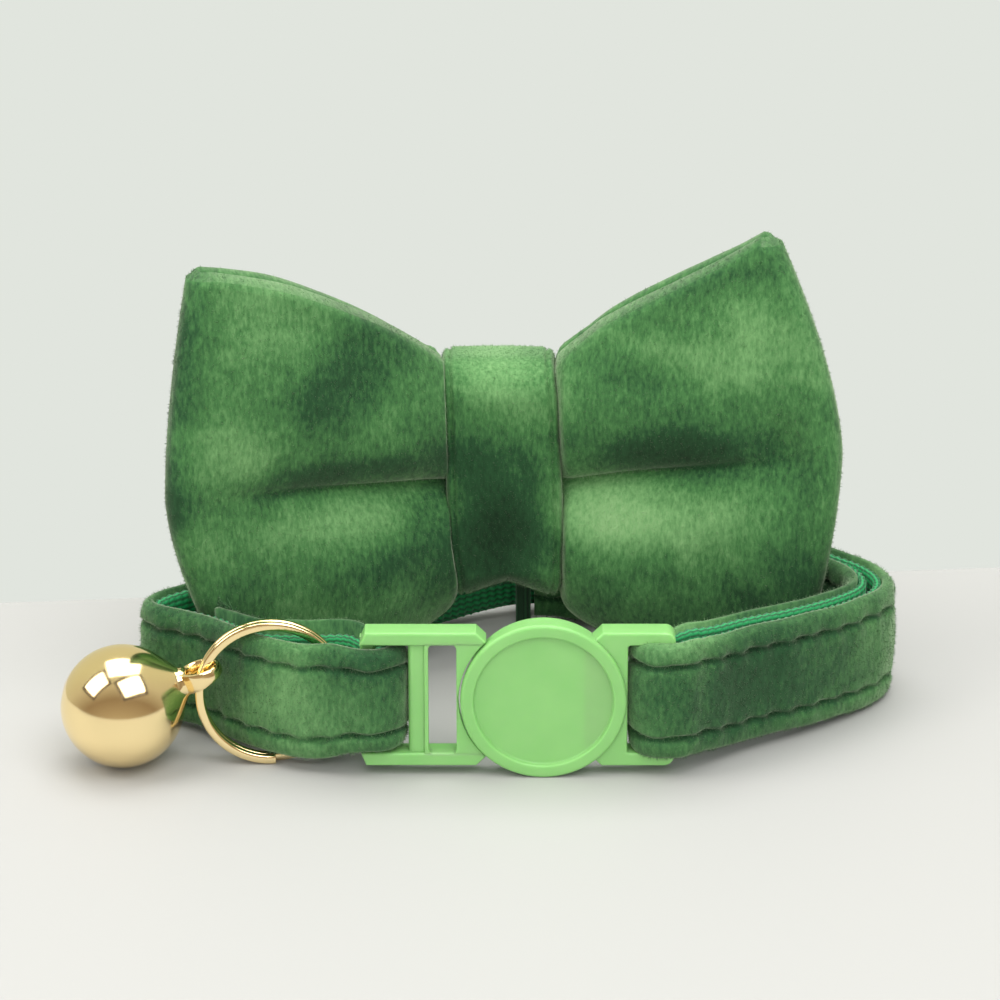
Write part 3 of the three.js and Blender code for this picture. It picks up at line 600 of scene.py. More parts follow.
clear_of_bar = smoothstep((from_bar - BAR_WIDTH) / 3.2)
in_front = (path[:, 1] < BAR_Y) & (path[:, 0] > 0)  # there the strap lies over the right rails
clear_of_bar[in_front] = smoothstep((path[in_front, 0] - 8.7) / 1.8)
settled = smoothstep((from_bar - BAR_WIDTH) / 6.0)
half_width = (WIDTH_AT_BAR + (STRAP_WIDTH - WIDTH_AT_BAR) * clear_of_bar) / 2
over_elastic = np.exp(-((path[:, 0] - ELASTIC_X) / (4 * ELASTIC_WIDTH)) ** 2)
over_elastic *= path[:, 1] > BOW_AXIS_Y
at_rest = STRAP_WIDTH / 2 + over_elastic * (ELASTIC_THICK + FIT)
far = smoothstep((from_bar - FOLD_OUTER) / LIFT_LENGTH)
middle_z = (BUCKLE_Z - STRAP_SAG * settled) * (1 - far) + at_rest * far
print("strap middle from", middle_z.min().round(2), "to", middle_z.max().round(2), "mm")

# %% [markdown]
# ## The velvet of the strap
# The velvet is padded a little and stitched down along both edges, so it stands in three soft
# channels with a deep groove at each seam. A sweep with one fixed section would look like
# moulded rubber. So the section is a function of where it is: the grooves are deepest in the
# middle of each stitch, the pile between them puckers, and slow noise moves the whole skin.

# %% Velvet skin of the strap
VELVET = 1.3
SEWN_GAP = 0.2
SEAM_AT = 0.62
STITCH_PITCH = 3.1
SEAM_HALF_WIDTH = 0.055
FANNED = 0.24  # round a bar the pile fans out, and the strap looks thicker there
fine = np.linspace(-1, 1, 7) * 0.09
OUTSIDE = np.unique(np.round(np.concatenate([
    np.linspace(-0.9, 0.9, 25), SEAM_AT + fine, -SEAM_AT + fine,
    [-0.995, -0.98, -0.955, -0.93, 0.93, 0.955, 0.98, 0.995]]), 4))


def soft_noise(points, wave, seed):
    """Smooth noise from -1 to 1 at points in millimetres."""
    return np.array([noise.noise(Vector(p) / wave + Vector((seed, 0, 0))) for p in points])


def velvet_height(share, s, stitch):
    """How far the velvet stands off its back, as a share of its thickness."""
    rounded = (1 - np.abs(share) ** 11) ** (1 / 2.3)
    off_seam = np.abs(np.abs(share) - SEAM_AT)
    groove = np.exp(-(off_seam / SEAM_HALF_WIDTH) ** 2)
    pull = math.cos(2 * math.pi * stitch)
    pucker = np.exp(-(off_seam / (3 * SEAM_HALF_WIDTH)) ** 2) * 0.13 * pull
    crown = 0.1 * np.cos(np.clip(np.abs(share) / SEAM_AT, 0, 1) * math.pi / 2)
    depth = 0.36 - 0.16 * pull + 0.14 * noise.noise(Vector((s / 3.0, 7.7, 0)))
    return np.maximum(rounded * (1 + crown + pucker) * (1 - depth * groove), 0.0)


rings = []
for i, s in enumerate(run):
    proud = velvet_height(OUTSIDE, s, s / STITCH_PITCH)
    wander = 0.12 * noise.noise(Vector((s / 4.0, 3.1, 0)))
    half = half_width[i] + wander * clear_of_bar[i]
    fanned = 1 + FANNED * (1 - smoothstep((from_bar[i] - FOLD_RADIUS) / FOLD_RADIUS))
    section = [(h * half, SEWN_GAP / 2 + p * fanned * VELVET) for h, p in zip(OUTSIDE, proud)]
    section += [(0.985 * half, SEWN_GAP / 2), (-0.985 * half, SEWN_GAP / 2)]
    rings.append(ring_at(path[i], outward[i], middle_z[i], section))
rings = np.array(rings)
flat = rings[:, :len(OUTSIDE)].reshape(-1, 3)
swell = 0.10 * soft_noise(flat, 5.0, 1.7) + 0.05 * soft_noise(flat, 1.6, 4.2)
swell += 0.07 * soft_noise(flat * (1, 1, 0.12), 0.9, 6.6)  # the pile stands in upright ridges
swell = swell.reshape(len(path), -1) * np.minimum(1, (1 - np.abs(OUTSIDE)) * 12)[None, :]
rings[:, :len(OUTSIDE), :2] += swell[..., None] * outward[:, None, :]
strap_velvet = skin("velvet_strap", rings, STRAP_VELVET)
strap_grid = rings[:, :len(OUTSIDE)]
lay_and_painted_light = strap_velvet.data.attributes["brushed_and_painted_light"].data
values = np.empty(len(lay_and_painted_light), np.float32)
lay_and_painted_light.foreach_get("value", values)
# Painted shade: the colour is darker in the seam grooves, where shade falls
seam_painted_shade = 0.13 * np.exp(-((np.abs(OUTSIDE) - SEAM_AT) / SEAM_HALF_WIDTH) ** 2)
values.reshape(len(path), -1)[:, :len(OUTSIDE)] -= seam_painted_shade.astype(np.float32)
lay_and_painted_light.foreach_set("value", values)  # the pile in a seam stands on end, so it looks darker
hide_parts("strap_velvet")

# %% [markdown]
# ## Webbing inside the strap
# Webbing shows as a bright green line along the strap's upper edge and as a ribbed band at
# the back. Its ribs run across the strap, under a millimetre apart, and are real waves here,
# because the back of the collar is seen from close by.

# %% Webbing
WEBBING = 0.7
WEBBING_SHARE = 0.93
RIB_PITCH = 0.9
RIB_HEIGHT = 0.09
WEB_STEP = RIB_PITCH / 4
web_run = np.arange(0, run[-1], WEB_STEP)
web_path, web_out = along_strap(web_run, path), along_strap(web_run, outward)
# The velvet's hem covers more of the webbing at the raw end
hemmed = 0.16 * (1 - smoothstep((web_run - 19.0) / 5.0))
web_half = np.interp(web_run, run, half_width) * (WEBBING_SHARE - hemmed)
web_mid = np.interp(web_run, run, middle_z)
rings = []
for i, s in enumerate(web_run):
    rib = RIB_HEIGHT * math.cos(2 * math.pi * s / RIB_PITCH)
    near, deep = -SEWN_GAP / 2, -SEWN_GAP / 2 - WEBBING + RIB_HEIGHT - rib
    half = web_half[i] + rib
    section = [(-half, near), (half, near), (half, (near + deep) / 2), (half - 0.12, deep)]
    section += [(h * half, deep) for h in (0.7, 0.35, 0.0, -0.35, -0.7)]
    section += [(0.12 - half, deep), (-half, (near + deep) / 2)]
    rings.append(ring_at(web_path[i], web_out[i], web_mid[i], section))
webbing = skin("ribbed_webbing", rings, WEBBING_NYLON)
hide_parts("strap_webbing")

# %% [markdown]
# ## Stitches and the frayed end
# Each stitch is a short dark thread that dives into the pile at both ends. A row of small
# curved rods does that better than a painted dash, because the grooves' shadows fall on them.
# The inner end on the left is cut raw, so a tuft of loose threads stands out of it.

# %% Stitches and loose threads
THREAD_RADIUS = 0.1
STITCH_LENGTH = 2.3


def rods(name, lines, radius, material):
    """Many short thread pieces as one mesh. Each line is a row of points in millimetres."""
    points, faces = [], []
    for line in lines:
        line = np.asarray(line, float)
        go = unit(np.gradient(line, axis=0))
        side = np.cross(go, (0, 0, 1.0))
        flat_lines = np.linalg.norm(side, axis=1) < 0.2
        side[flat_lines] = np.cross(go[flat_lines], (1.0, 0, 0))
        side = unit(side)
        up = np.cross(side, go)
        thin = np.sin(np.linspace(0.12, math.pi - 0.12, len(line))) ** 0.35
        first = len(points)
        for j, p in enumerate(line):
            for turn in np.arange(6) * math.pi / 3:
                spoke = math.cos(turn) * side[j] + math.sin(turn) * up[j]
                points.append(p + radius * thin[j] * spoke)
        faces += ring_faces(len(line), 6, False, first)
    return add_piece(name, np.array(points), faces, material, np.zeros((len(points), 2)))


lines = []
for seam in (-SEAM_AT, SEAM_AT):
    for start in np.arange(STITCH_PITCH / 2, run[-1] - STITCH_LENGTH, STITCH_PITCH):
        s = start + np.linspace(0, STITCH_LENGTH, 6)
        dive = 0.30 * np.abs(np.linspace(-1, 1, 6)) ** 3
        mid, half = np.interp(s, run, middle_z), np.interp(s, run, half_width)
        off = SEWN_GAP / 2 + VELVET * 0.5 - dive
        at = along_strap(s, path) + along_strap(s, outward) * off[:, None]
        lines.append(np.column_stack([at, mid + seam * half]))
rods("strap_stitches", lines, THREAD_RADIUS, SEWING_THREAD)
rng = np.random.default_rng(21)
lines = []
for i in range(60):
    start = strap_grid[rng.integers(0, 5), -1 - rng.integers(1, 9)]
    away = np.array([-heading[0, 0], -heading[0, 1], 0.0]) * rng.uniform(-0.2, 0.9)
    away = away + (0, 0, rng.uniform(0.3, 1.0))
    bow_out = rng.normal(0, 0.22, 3)
    t = np.linspace(0, 1, 6)[:, None]
    lines.append(start + rng.uniform(0.6, 1.3) * away * t + bow_out * t ** 2)
rods("frayed_end", lines, 0.045, STRAP_VELVET)

# %% [markdown]
# ## The bow's wings
# The bow is a wide band of velvet sewn into a loop, pressed flat and gripped in the middle.
# Each wing has a front panel and a back panel joined by the fold at its tip, and stays open
# above and below. The panels fan out from the knot, with two lobes and a deep crease between.
# A table of a few rows sets these forms, and smooth curves through the rows make the skin.

# %% Bow sizes and rows
BOW_SHIFT = -4.0
BOW_CENTRE_Z = 20.3
BOW_WALL = 1.6
POCKET = 0.4
KNOT_WIDTH = 12.0
KNOT_HEIGHT = 26.6
KNOT_DEPTH = 10.0
KNOT_WALL = 1.4
LOBE_FRONT = 4.0
LOBE_BACK = 1.0
WING_KNEE = 0.05
LEFT = dict(side=-1, reach=34.1, top_cut=2.7, bottom_cut=7.4, rise=26.8, valley=3.6, sweep=18.6)
RIGHT = dict(side=1, reach=34.9, top_cut=6.9, bottom_cut=3.8, rise=28.2, valley=5.0, sweep=8.8)
WING_ROWS = np.array([  # along, rise on the left, rise on the right, drop, lobe, crease
    (0.00, 0.00, 0.00, 0.00, 0.28, 0.50), (0.02, 0.11, 0.10, 0.14, 0.55, 0.50),
    (0.06, 0.17, 0.19, 0.36, 0.98, 0.48), (0.18, 0.33, 0.35, 0.62, 1.04, 0.55),
    (0.33, 0.51, 0.485, 0.77, 0.94, 0.60), (0.51, 0.69, 0.62, 0.88, 0.76, 0.70),
    (0.70, 0.86, 0.755, 0.95, 0.52, 0.88), (0.88, 0.97, 0.885, 0.99, 0.26, 1.15),
    (1.00, 1.03, 0.985, 1.00, 0.06, 1.50)])
KNOT_SIDES = np.array([  # height from the knot's middle, left edge, right edge
    (-14.0, -8.7, 1.5), (-11.0, -9.0, 2.2), (-6.0, -9.7, 2.4), (2.0, -10.0, 2.1), (9.0, -10.2, 1.8),
    (14.0, -10.4, 1.3)])
DENTS = {  # along, height, radius along, radius in height, depth in millimetres
    -1: [(0.42, 0.62, 0.16, 0.22, 0.7), (0.75, -0.45, 0.14, 0.3, 0.6),
         (0.22, -0.6, 0.08, 0.25, 0.5)],
    1: [(0.86, 0.08, 0.07, 0.16, 0.9), (0.45, 0.6, 0.2, 0.16, 0.5), (0.6, -0.5, 0.16, 0.24, 0.5)]}
SLIT = 0.9
UNDER_KNOT = 0.3  # the wings come out from under the knot's edges
BUNDLE_HALF = KNOT_HEIGHT / 2 - KNOT_WALL - 2 * FIT


def row_values(along):
    """The two rises, drop, lobe and crease at a place along a wing, smoothed between the rows."""
    t = WING_ROWS[:, 0]
    i = int(np.clip(np.searchsorted(t, along) - 1, 0, len(t) - 2))
    f = (along - t[i]) / (t[i + 1] - t[i])
    slopes = np.gradient(WING_ROWS[:, 1:], t, axis=0)
    a, b = WING_ROWS[i, 1:], WING_ROWS[i + 1, 1:]
    h = t[i + 1] - t[i]
    value = ((2 * f ** 3 - 3 * f ** 2 + 1) * a + (f ** 3 - 2 * f ** 2 + f) * h * slopes[i]
             + (3 * f ** 2 - 2 * f ** 3) * b + (f ** 3 - f ** 2) * h * slopes[i + 1])
    return np.clip(value, np.minimum(a, b), np.maximum(a, b))


# %% One cross-section of a wing
def wing_axis(wing, along, height):
    """Middle of the wing at one height, and the direction across its panels."""
    start = KNOT_WIDTH / 2 + FIT
    cut = wing["top_cut"] * height ** 1.5 if height > 0 else wing["bottom_cut"] * abs(height) ** 1.6
    tip = wing["reach"] - cut - BOW_WALL - POCKET / 2
    out = start + along * (tip - start) if along >= 0 else start * (1 + along)
    going = max(along, 0) * (tip - start)
    length = wing["reach"] - start
    knee = length * WING_KNEE
    bend = math.hypot(going, knee)
    y = BOW_AXIS_Y - wing["sweep"] * (bend - knee) / length
    slope = -wing["sweep"] * going / bend / length
    across = unit(np.array([-slope * wing["side"], 1.0]))
    return BOW_SHIFT + wing["side"] * out, y, across


HEIGHTS = np.sin(np.linspace(-math.pi / 2, math.pi / 2, 49)) * 0.35 + np.linspace(-1, 1, 49) * 0.65
HEIGHTS = np.sign(HEIGHTS) * np.abs(HEIGHTS) ** 1.15


def wing_section(wing, along, turn, front):
    """A closed ring: the panel's outside from bottom to top, then its inside back down."""
    left_rise, right_rise, drop, lobe, crease = row_values(max(along, 0))
    rise = right_rise if wing is RIGHT else left_rise
    top = BUNDLE_HALF + (wing["rise"] - BUNDLE_HALF) * rise
    bottom = BUNDLE_HALF + (BOW_CENTRE_Z - BUNDLE_HALF) * drop
    valley = wing["valley"] * max(along, 0)
    # The upper lobe hangs over the crease, and the lower one slopes gently up to it
    steep = np.where(HEIGHTS > 0, 0.72, 1.2) * crease
    swell = np.abs(np.sin(math.pi * HEIGHTS)) ** steep * lobe * (LOBE_FRONT if front else LOBE_BACK)
    swell += SLIT * math.sin(math.pi * np.clip(along, 0, 1)) * smoothstep((HEIGHTS - 0.8) / 0.2)
    if front:
        for at, height, long, tall, deep in DENTS[wing["side"]]:
            swell -= deep * np.exp(-((along - at) / long) ** 2 - ((HEIGHTS - height) / tall) ** 2)
    ring = []
    start = KNOT_WIDTH / 2 + FIT
    near_knot = (1 - smoothstep(along / 0.12)) * (along >= 0)
    layers = [(h, s, 1.0) for h, s in zip(HEIGHTS, swell)]
    layers += [(HEIGHTS[-1], swell[-1], 0.5)]
    layers += [(h, s, 0.0) for h, s in zip(HEIGHTS[::-2], swell[::-2])]
    layers += [(HEIGHTS[0], swell[0], 0.5)]
    for h, s, depth in layers:
        x, y, across = wing_axis(wing, along, h)
        lift = top - valley if h > 0 else bottom + valley
        z = BOW_CENTRE_Z + valley + h * lift
        if abs(h) == 1 and depth != 0.5:  # rounds the panel's free edge
            z -= math.copysign(BOW_WALL / 2, h)
        side_out = np.array([-across[1], across[0]]) * -wing["side"]
        away = -across * math.cos(turn) + side_out * math.sin(turn)
        reach = POCKET / 2 + s + depth * BOW_WALL
        knot_edge = np.interp(z - BOW_CENTRE_Z, *KNOT_SIDES[:, [0, 1 + (wing is RIGHT)]].T)
        edge = wing["side"] * (knot_edge - BOW_SHIFT)
        px = x + away[0] * reach + wing["side"] * (edge - UNDER_KNOT - start) * near_knot
        least = 0 if along < 0 else min(start, edge - UNDER_KNOT)
        px = BOW_SHIFT + wing["side"] * max(wing["side"] * (px - BOW_SHIFT), least)
        ring.append((px, y + away[1] * reach, z))
    return ring


# %% The bow's skin
ALONG = np.concatenate([[-1.0, -0.4], np.linspace(0, 0.18, 14), np.linspace(0.18, 1, 44)[1:]])
rings = []
for wing in (RIGHT, LEFT):
    front = [wing_section(wing, a, 0.0, True) for a in ALONG]
    tip = [wing_section(wing, 1.0, t * math.pi, t < 0.5) for t in np.linspace(0, 1, 13)[1:-1]]
    back = [wing_section(wing, a, math.pi, False) for a in ALONG[::-1]]
    rows = front + tip + back
    rings += rows if wing is RIGHT else rows[1:-1][::-1]
rings = np.array(rings)
flat = rings.reshape(-1, 3)  # the same points in one row, so the noise moves the rings too
flat[:, 1] += 0.22 * soft_noise(flat, 9.0, 8.3) + 0.06 * soft_noise(flat, 2.5, 2.9)
bow = skin("velvet_bow", rings, BOW_VELVET, closed=True)
bow_grid = rings[:, :len(HEIGHTS) + 1]
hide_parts("bow_body")

# %% [markdown]
# ## The knot
# A short band of the same velvet wraps the bow's middle. Its sides are turned in and stitched,
# it narrows a little toward its lower end, and the bundle pushes its lower edge up into a
# shallow notch. It is a row of rings round the bundle, with each ring's width set by height.

# %% Knot band
KNOT_CORNER = 4.0
KNOT_FOOT, KNOT_NOTCH, KNOT_DROP = -8.5, 2.2, 0.5  # where the notch starts, and its two heights
SECTION = np.concatenate([[-1, -0.99, -0.97], np.linspace(-0.94, 0.94, 61), [0.97, 0.99, 1]])


def round_rect(half_y, half_z, corner, count):
    """Even points round an upright rectangle with round corners, with their outward directions."""
    corners = round_corners(0, half_y, half_z, corner, 11)
    loop = even(np.array(corners + corners[:1]), 4 * (half_y + half_z) / count)[:-1]
    go = np.roll(loop, -1, 0) - np.roll(loop, 1, 0)
    return loop, unit(np.stack([go[:, 1], -go[:, 0]], 1))


loop, loop_out = round_rect(KNOT_DEPTH / 2, KNOT_HEIGHT / 2, KNOT_CORNER, 150)
rings = []
for (y, z), (oy, oz) in zip(loop, loop_out):
    left, right = (np.interp(z, KNOT_SIDES[:, 0], KNOT_SIDES[:, k]) for k in (1, 2))
    foot = smoothstep((KNOT_FOOT - z) / 4.5)
    edge = np.exp(-((np.abs(SECTION) - 0.86) / 0.022) ** 2)
    body = (1 - np.abs(SECTION) ** 16) ** 0.5
    thick = KNOT_WALL * body * (1 - 0.34 * edge + 0.06 * np.cos(SECTION * math.pi / 2))
    ring = [*zip(SECTION, thick), *((share, 0.0) for share in (0.98, 0.5, 0.0, -0.5, -0.98))]
    rings.append([((left + right) / 2 + share * (right - left) / 2,
                   BOW_AXIS_Y + y - oy * (KNOT_WALL - t),
                   BOW_CENTRE_Z + z - oz * (KNOT_WALL - t)
                   + foot * (KNOT_NOTCH * (1 - abs(share)) ** 0.8 - KNOT_DROP))
                  for share, t in ring])
rings = np.array(rings)
flat = rings.reshape(-1, 3)
flat[:, 1] += 0.10 * soft_noise(flat, 6.0, 5.5)
knot = skin("velvet_knot", rings, BOW_VELVET, closed=True)
knot_grid = rings[:, :len(SECTION)]
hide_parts("bow_knot")

# %% [markdown]
# ## Buckle plates with rounded edges
# A mould gives every edge a small radius, and the thin bright line along it is what makes
# plastic look real. A bevel modifier would round edges inside the holes unevenly. So a plate
# is built from its outline instead: copies of the outline are moved inward by exact steps of a
# quarter circle, front and back, and the two faces are filled last.

# %% Outlines, plates and turned shapes
def inset(loop, distance):
    """A closed loop moved to its left, which is into the material."""
    go = unit(np.roll(loop, -1, 0) - loop)
    left = np.stack([-go[:, 1], go[:, 0]], 1)
    before = np.roll(left, 1, 0)
    return loop + distance * (left + before) / (1 + (left * before).sum(1))[:, None]


def wound(loop, outer):
    """The loop running anticlockwise if it is an outline, clockwise if it is a hole."""
    loop = np.array(loop, float)
    x, z = loop.T
    area = (x * np.roll(z, -1) - np.roll(x, -1) * z).sum()
    return loop if (area > 0) == outer else loop[::-1]


def plate(loops, front, back, edge):
    """A plate in X and Z with rounded edges. The first loop is its outline, the rest are holes."""
    quarter = np.linspace(0, math.pi / 2, 6)
    rows = [(1.3 * edge, 0.0)]
    rows += [(edge * (1 - math.sin(t)), edge * (1 - math.cos(t))) for t in quarter]
    rows = [(d, front + y) for d, y in rows] + [(d, back - y) for d, y in reversed(rows)]
    points, faces, rims = [], [], [[], []]
    for k, loop in enumerate(loops):
        loop = wound(loop, k == 0)
        first, count = len(points), len(loop)
        for d, y in rows:
            points += [(x, y, z) for x, z in inset(loop, d)]
        faces += ring_faces(len(rows), count, False, first, caps=False)
        rims[0].append(range(first, first + count))
        rims[1].append(range(first + (len(rows) - 1) * count, first + len(rows) * count))
    for rim, toward_back in zip(rims, (False, True)):
        index = [i for loop in rim for i in loop]
        flat = [[Vector((points[i][0], points[i][2], 0)) for i in loop] for loop in rim]
        for face in geometry.tessellate_polygon(flat):
            a, b, c = (index[k] for k in face)
            (ax, _, az), (bx, _, bz), (cx, _, cz) = points[a], points[b], points[c]
            anticlockwise = (bx - ax) * (cz - az) > (bz - az) * (cx - ax)
            faces.append((a, b, c) if anticlockwise != toward_back else (a, c, b))
    return np.array(points), faces


def turned(profile, steps):
    """A shape turned about Y through the origin, from a row of (radius, depth) points."""
    turn = np.arange(steps) * 2 * math.pi / steps
    rings = [[(r * math.cos(t), y, r * math.sin(t)) for t in turn] for r, y in profile]
    return np.array(rings).reshape(-1, 3), ring_faces(len(profile), steps, False)


def joined(parts):
    """Several point and face lists as one."""
    points, faces, first = [], [], 0
    for some, those in parts:
        points.append(some)
        faces += [tuple(first + i for i in face) for face in those]
        first += len(some)
    return np.vstack(points), faces


def bar(left, right, half_height, front, back, edge):
    """A plain upright bar as a plate."""
    return plate([[(left, -half_height), (right, -half_height), (right, half_height),
                   (left, half_height)]], front, back, edge)


def ball_profile(radius, start, end, count):
    """Part of a ball as (radius, depth) points, from one angle to another in degrees."""
    return [(radius * math.sin(t), -radius * math.cos(t))
            for t in np.radians(np.linspace(start, end, count))]


def buckle_piece(name, parts):
    points, faces = joined(parts)
    return add_piece(name, points + (0, 0, BUCKLE_Z), faces, BUCKLE_PLASTIC,
                     crisp=32)


# %% [markdown]
# ## Round half of the buckle
# The front is a rimmed disc with a shallow recess. A fine groove behind the rim marks where
# the back plate starts. It is a true turned form, so its profile is a short list of radii and
# depths with small arcs at the edges. The recess is left bare.

# %% Round half
RIM_DEPTH = 1.2
DISC_DEPTH = 3.3
BACK_RADIUS = 7.85
RECESS_RADIUS = 6.9
RECESS_DEPTH = 0.5
RAIL_FRONT, RAIL_BACK = 0.6, 3.2
HALF_HEIGHT = 7.2
SLOT_HALF = 5.82
SHOULDER = 1.0
BAR_THICK = 1.2
EDGE = 0.25

profile = [(1.0, RECESS_DEPTH), (6.4, RECESS_DEPTH)]
profile += arc(RECESS_RADIUS - 0.2, RECESS_DEPTH - 0.2, 0.2, 90, 0)
profile += arc(RECESS_RADIUS + EDGE, EDGE, EDGE, 180, 270)
profile += arc(DISC_RADIUS - 0.35, 0.35, 0.35, 270, 360)
profile += arc(DISC_RADIUS - EDGE, RIM_DEPTH - EDGE, EDGE, 0, 90)
profile += [(7.72, RIM_DEPTH + 0.02), (7.7, RIM_DEPTH + 0.08), (7.7, RIM_DEPTH + 0.34)]
profile += arc(BACK_RADIUS - 0.14, RIM_DEPTH + 0.54, 0.14, 270, 360)
profile += arc(BACK_RADIUS - EDGE, DISC_DEPTH - EDGE, EDGE, 0, 90)
profile += [(BACK_RADIUS - 0.5, DISC_DEPTH), (1.0, DISC_DEPTH)]
disc = turned(profile, 120)

BAR_LEFT, BAR_RIGHT = FEMALE_FOLD_X - 0.25, FEMALE_FOLD_X + 1.3
shoulder_x = math.sqrt(BACK_RADIUS ** 2 - (HALF_HEIGHT - SHOULDER) ** 2)
lower = [
    (4.0, -5.9), (shoulder_x, SHOULDER - HALF_HEIGHT), (shoulder_x + SHOULDER, -HALF_HEIGHT),
    *arc(BAR_RIGHT - SHOULDER, SHOULDER - HALF_HEIGHT, SHOULDER, -90, 0),
    (BAR_RIGHT, -SLOT_HALF - 0.02), *arc(DISC_RADIUS + 0.4, 0.3 - SLOT_HALF, 0.3, 270, 180)]
side_rails = plate([lower + [(x, -z) for x, z in reversed(lower)]], RAIL_FRONT, RAIL_BACK, 0.22)
end_bar = bar(BAR_LEFT, BAR_RIGHT, 6.3, RAIL_BACK - BAR_THICK, RAIL_BACK, 0.3)
round_half = buckle_piece("buckle_round_half", [disc, side_rails, end_bar])
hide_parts("buckle_female")

# %% [markdown]
# ## Clip half of the buckle
# The other half has two rails, an open window beside the disc and a bar set back between
# window and strap. The parts stand at different depths, and those small steps catch the light,
# so each level is a plate of its own, sunk a little into its neighbours.

# %% Clip half
REACH = DISC_RADIUS + 0.15
WINDOW_LEFT, WINDOW_RIGHT = -11.4, -8.62
WINDOW_HALF = 5.95
MID_LEFT = -13.4
CLIP_HALF = 6.2
CLIP_LEFT, CLIP_BAR_RIGHT = MALE_FOLD_X - 1.3, MALE_FOLD_X + 0.25
shoulder_x = -math.sqrt(REACH ** 2 - (HALF_HEIGHT - SHOULDER) ** 2)
rail_x = -math.sqrt(REACH ** 2 - SLOT_HALF ** 2)
rail = [(CLIP_LEFT, SLOT_HALF), (rail_x, SLOT_HALF), (shoulder_x, HALF_HEIGHT - SHOULDER),
        (shoulder_x - SHOULDER, HALF_HEIGHT), (CLIP_LEFT + 0.55, HALF_HEIGHT)]
rails = [plate([[(x, way * z) for x, z in rail]], RAIL_FRONT, RAIL_BACK, EDGE) for way in (-1, 1)]
lean = math.degrees(math.asin(6.1 / REACH))
window_hole = round_corners((WINDOW_LEFT + WINDOW_RIGHT) / 2, (WINDOW_RIGHT - WINDOW_LEFT) / 2,
                            WINDOW_HALF, 0.6)
window_frame = plate([
    [(-11.8, -6.1), *arc(0, 0, REACH, 180 + lean, 180 - lean, 32), (-11.8, 6.1)], window_hole,
], RAIL_FRONT + 0.06, 1.8, 0.09)
mid_bar = bar(MID_LEFT, WINDOW_LEFT, CLIP_HALF, 0.95, 2.9, 0.5)
clip_bar = bar(CLIP_LEFT, CLIP_BAR_RIGHT, CLIP_HALF, RAIL_BACK - BAR_THICK, RAIL_BACK, 0.3)
clip_half = buckle_piece("buckle_clip_half", [*rails, window_frame, mid_bar, clip_bar])
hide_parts("buckle_male")

# %% [markdown]
# ## Split ring
# A split ring is nearly two turns of flat wire, coiled and pressed together, and a dark line
# shows between the turns. The wire keeps to the back for one turn, steps to the front in a
# short stretch and ends at the foot. A rounded section that follows this route is all it needs.

# %% Ring
RING_AT = (-27.2, 4.2, 7.577)
RING_RADIUS = 7.1
RING_YAW, RING_LEAN = 4.0, 3.0
RING_TURNS, RING_CROSSING = 1.9, 0.1
WIRE_WIDE, WIRE_THICK, COIL_GAP = 0.92, 0.74, 0.1


def rounded_section(half_a, half_b, power, steps=20):
    """A rounded rectangle as a superellipse."""
    t = np.arange(steps) * 2 * math.pi / steps
    return np.stack([half_a * np.sign(np.cos(t)) * np.abs(np.cos(t)) ** (2 / power),
                     half_b * np.sign(np.sin(t)) * np.abs(np.sin(t)) ** (2 / power)], 1)


def rotation(degrees, axis):
    return Matrix.Rotation(math.radians(degrees), 3, axis)


turns = np.linspace(0, RING_TURNS, 260)
angle = 2 * math.pi * (turns - RING_TURNS) + math.radians(3 - 90)
depth = (WIRE_THICK + COIL_GAP) * (0.5 - smoothstep((turns - RING_TURNS + 1) / RING_CROSSING))
wire = rounded_section(WIRE_WIDE / 2, WIRE_THICK / 2, 3.0)
rings = np.array([[((RING_RADIUS + r) * math.cos(a), y + d, (RING_RADIUS + r) * math.sin(a))
                   for r, d in wire] for a, y in zip(angle, depth)])
pose = rotation(-RING_LEAN, "X") @ rotation(RING_YAW, "Z")
rings = rings @ np.array(pose).T + RING_AT
split_ring = skin("split_ring_gold", rings, GOLD_PLATE, crisp=50)
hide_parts("split_ring")

# %% [markdown]
# ## Bell
# The bell is pressed from thin sheet: a ball that draws out into a cone, and a flat link that
# narrows from the cone to the ring. Its foot has a slot between two holes. The ball is turned
# hollow, and the slot is cut through its wall with a boolean, as a press tool would cut it.

# %% Bell body
BELL_RADIUS = 6.2
BELL_WALL = 0.5
BELL_TILT = 23.5
BAIL_REACH = 8.7
BELL_AT = (-42.0, 3.72, BELL_RADIUS)
CONE_FROM = 37.0
SLOT_HALF_LENGTH, SLOT_HALF_WIDTH, HOLE_RADIUS = 3.5, 0.5, 1.0

profile = ball_profile(BELL_RADIUS, 1.5, 180 - CONE_FROM, 64)
profile += [(3.0, 5.50), (2.3, 6.03), (1.85, 6.37), (1.6, 6.62), (1.48, 6.85), (1.42, 7.1),
            (1.3, 7.3), (1.0, 7.42)]
outer = turned(profile, 96)
inner = turned(ball_profile(BELL_RADIUS - BELL_WALL, 2, 178, 50), 72)
cutter_loop = wound([*arc(SLOT_HALF_LENGTH, 0, HOLE_RADIUS, -150, 150, 20),
                     *arc(-SLOT_HALF_LENGTH, 0, HOLE_RADIUS, 30, 330, 20)], True)
cutter_rings = np.array([[(x, y, z) for x, z in cutter_loop] for y in (-8.0, -2.5)])
cutter = cutter_rings.reshape(-1, 3), ring_faces(2, len(cutter_loop), False)


def loose_object(name, part):
    """A mesh in millimetres that only the cuts need."""
    points, faces = part
    mesh = bpy.data.meshes.new(name)
    mesh.from_pydata(points.tolist(), [], facing_out(points, faces))
    return in_scene(name, mesh)


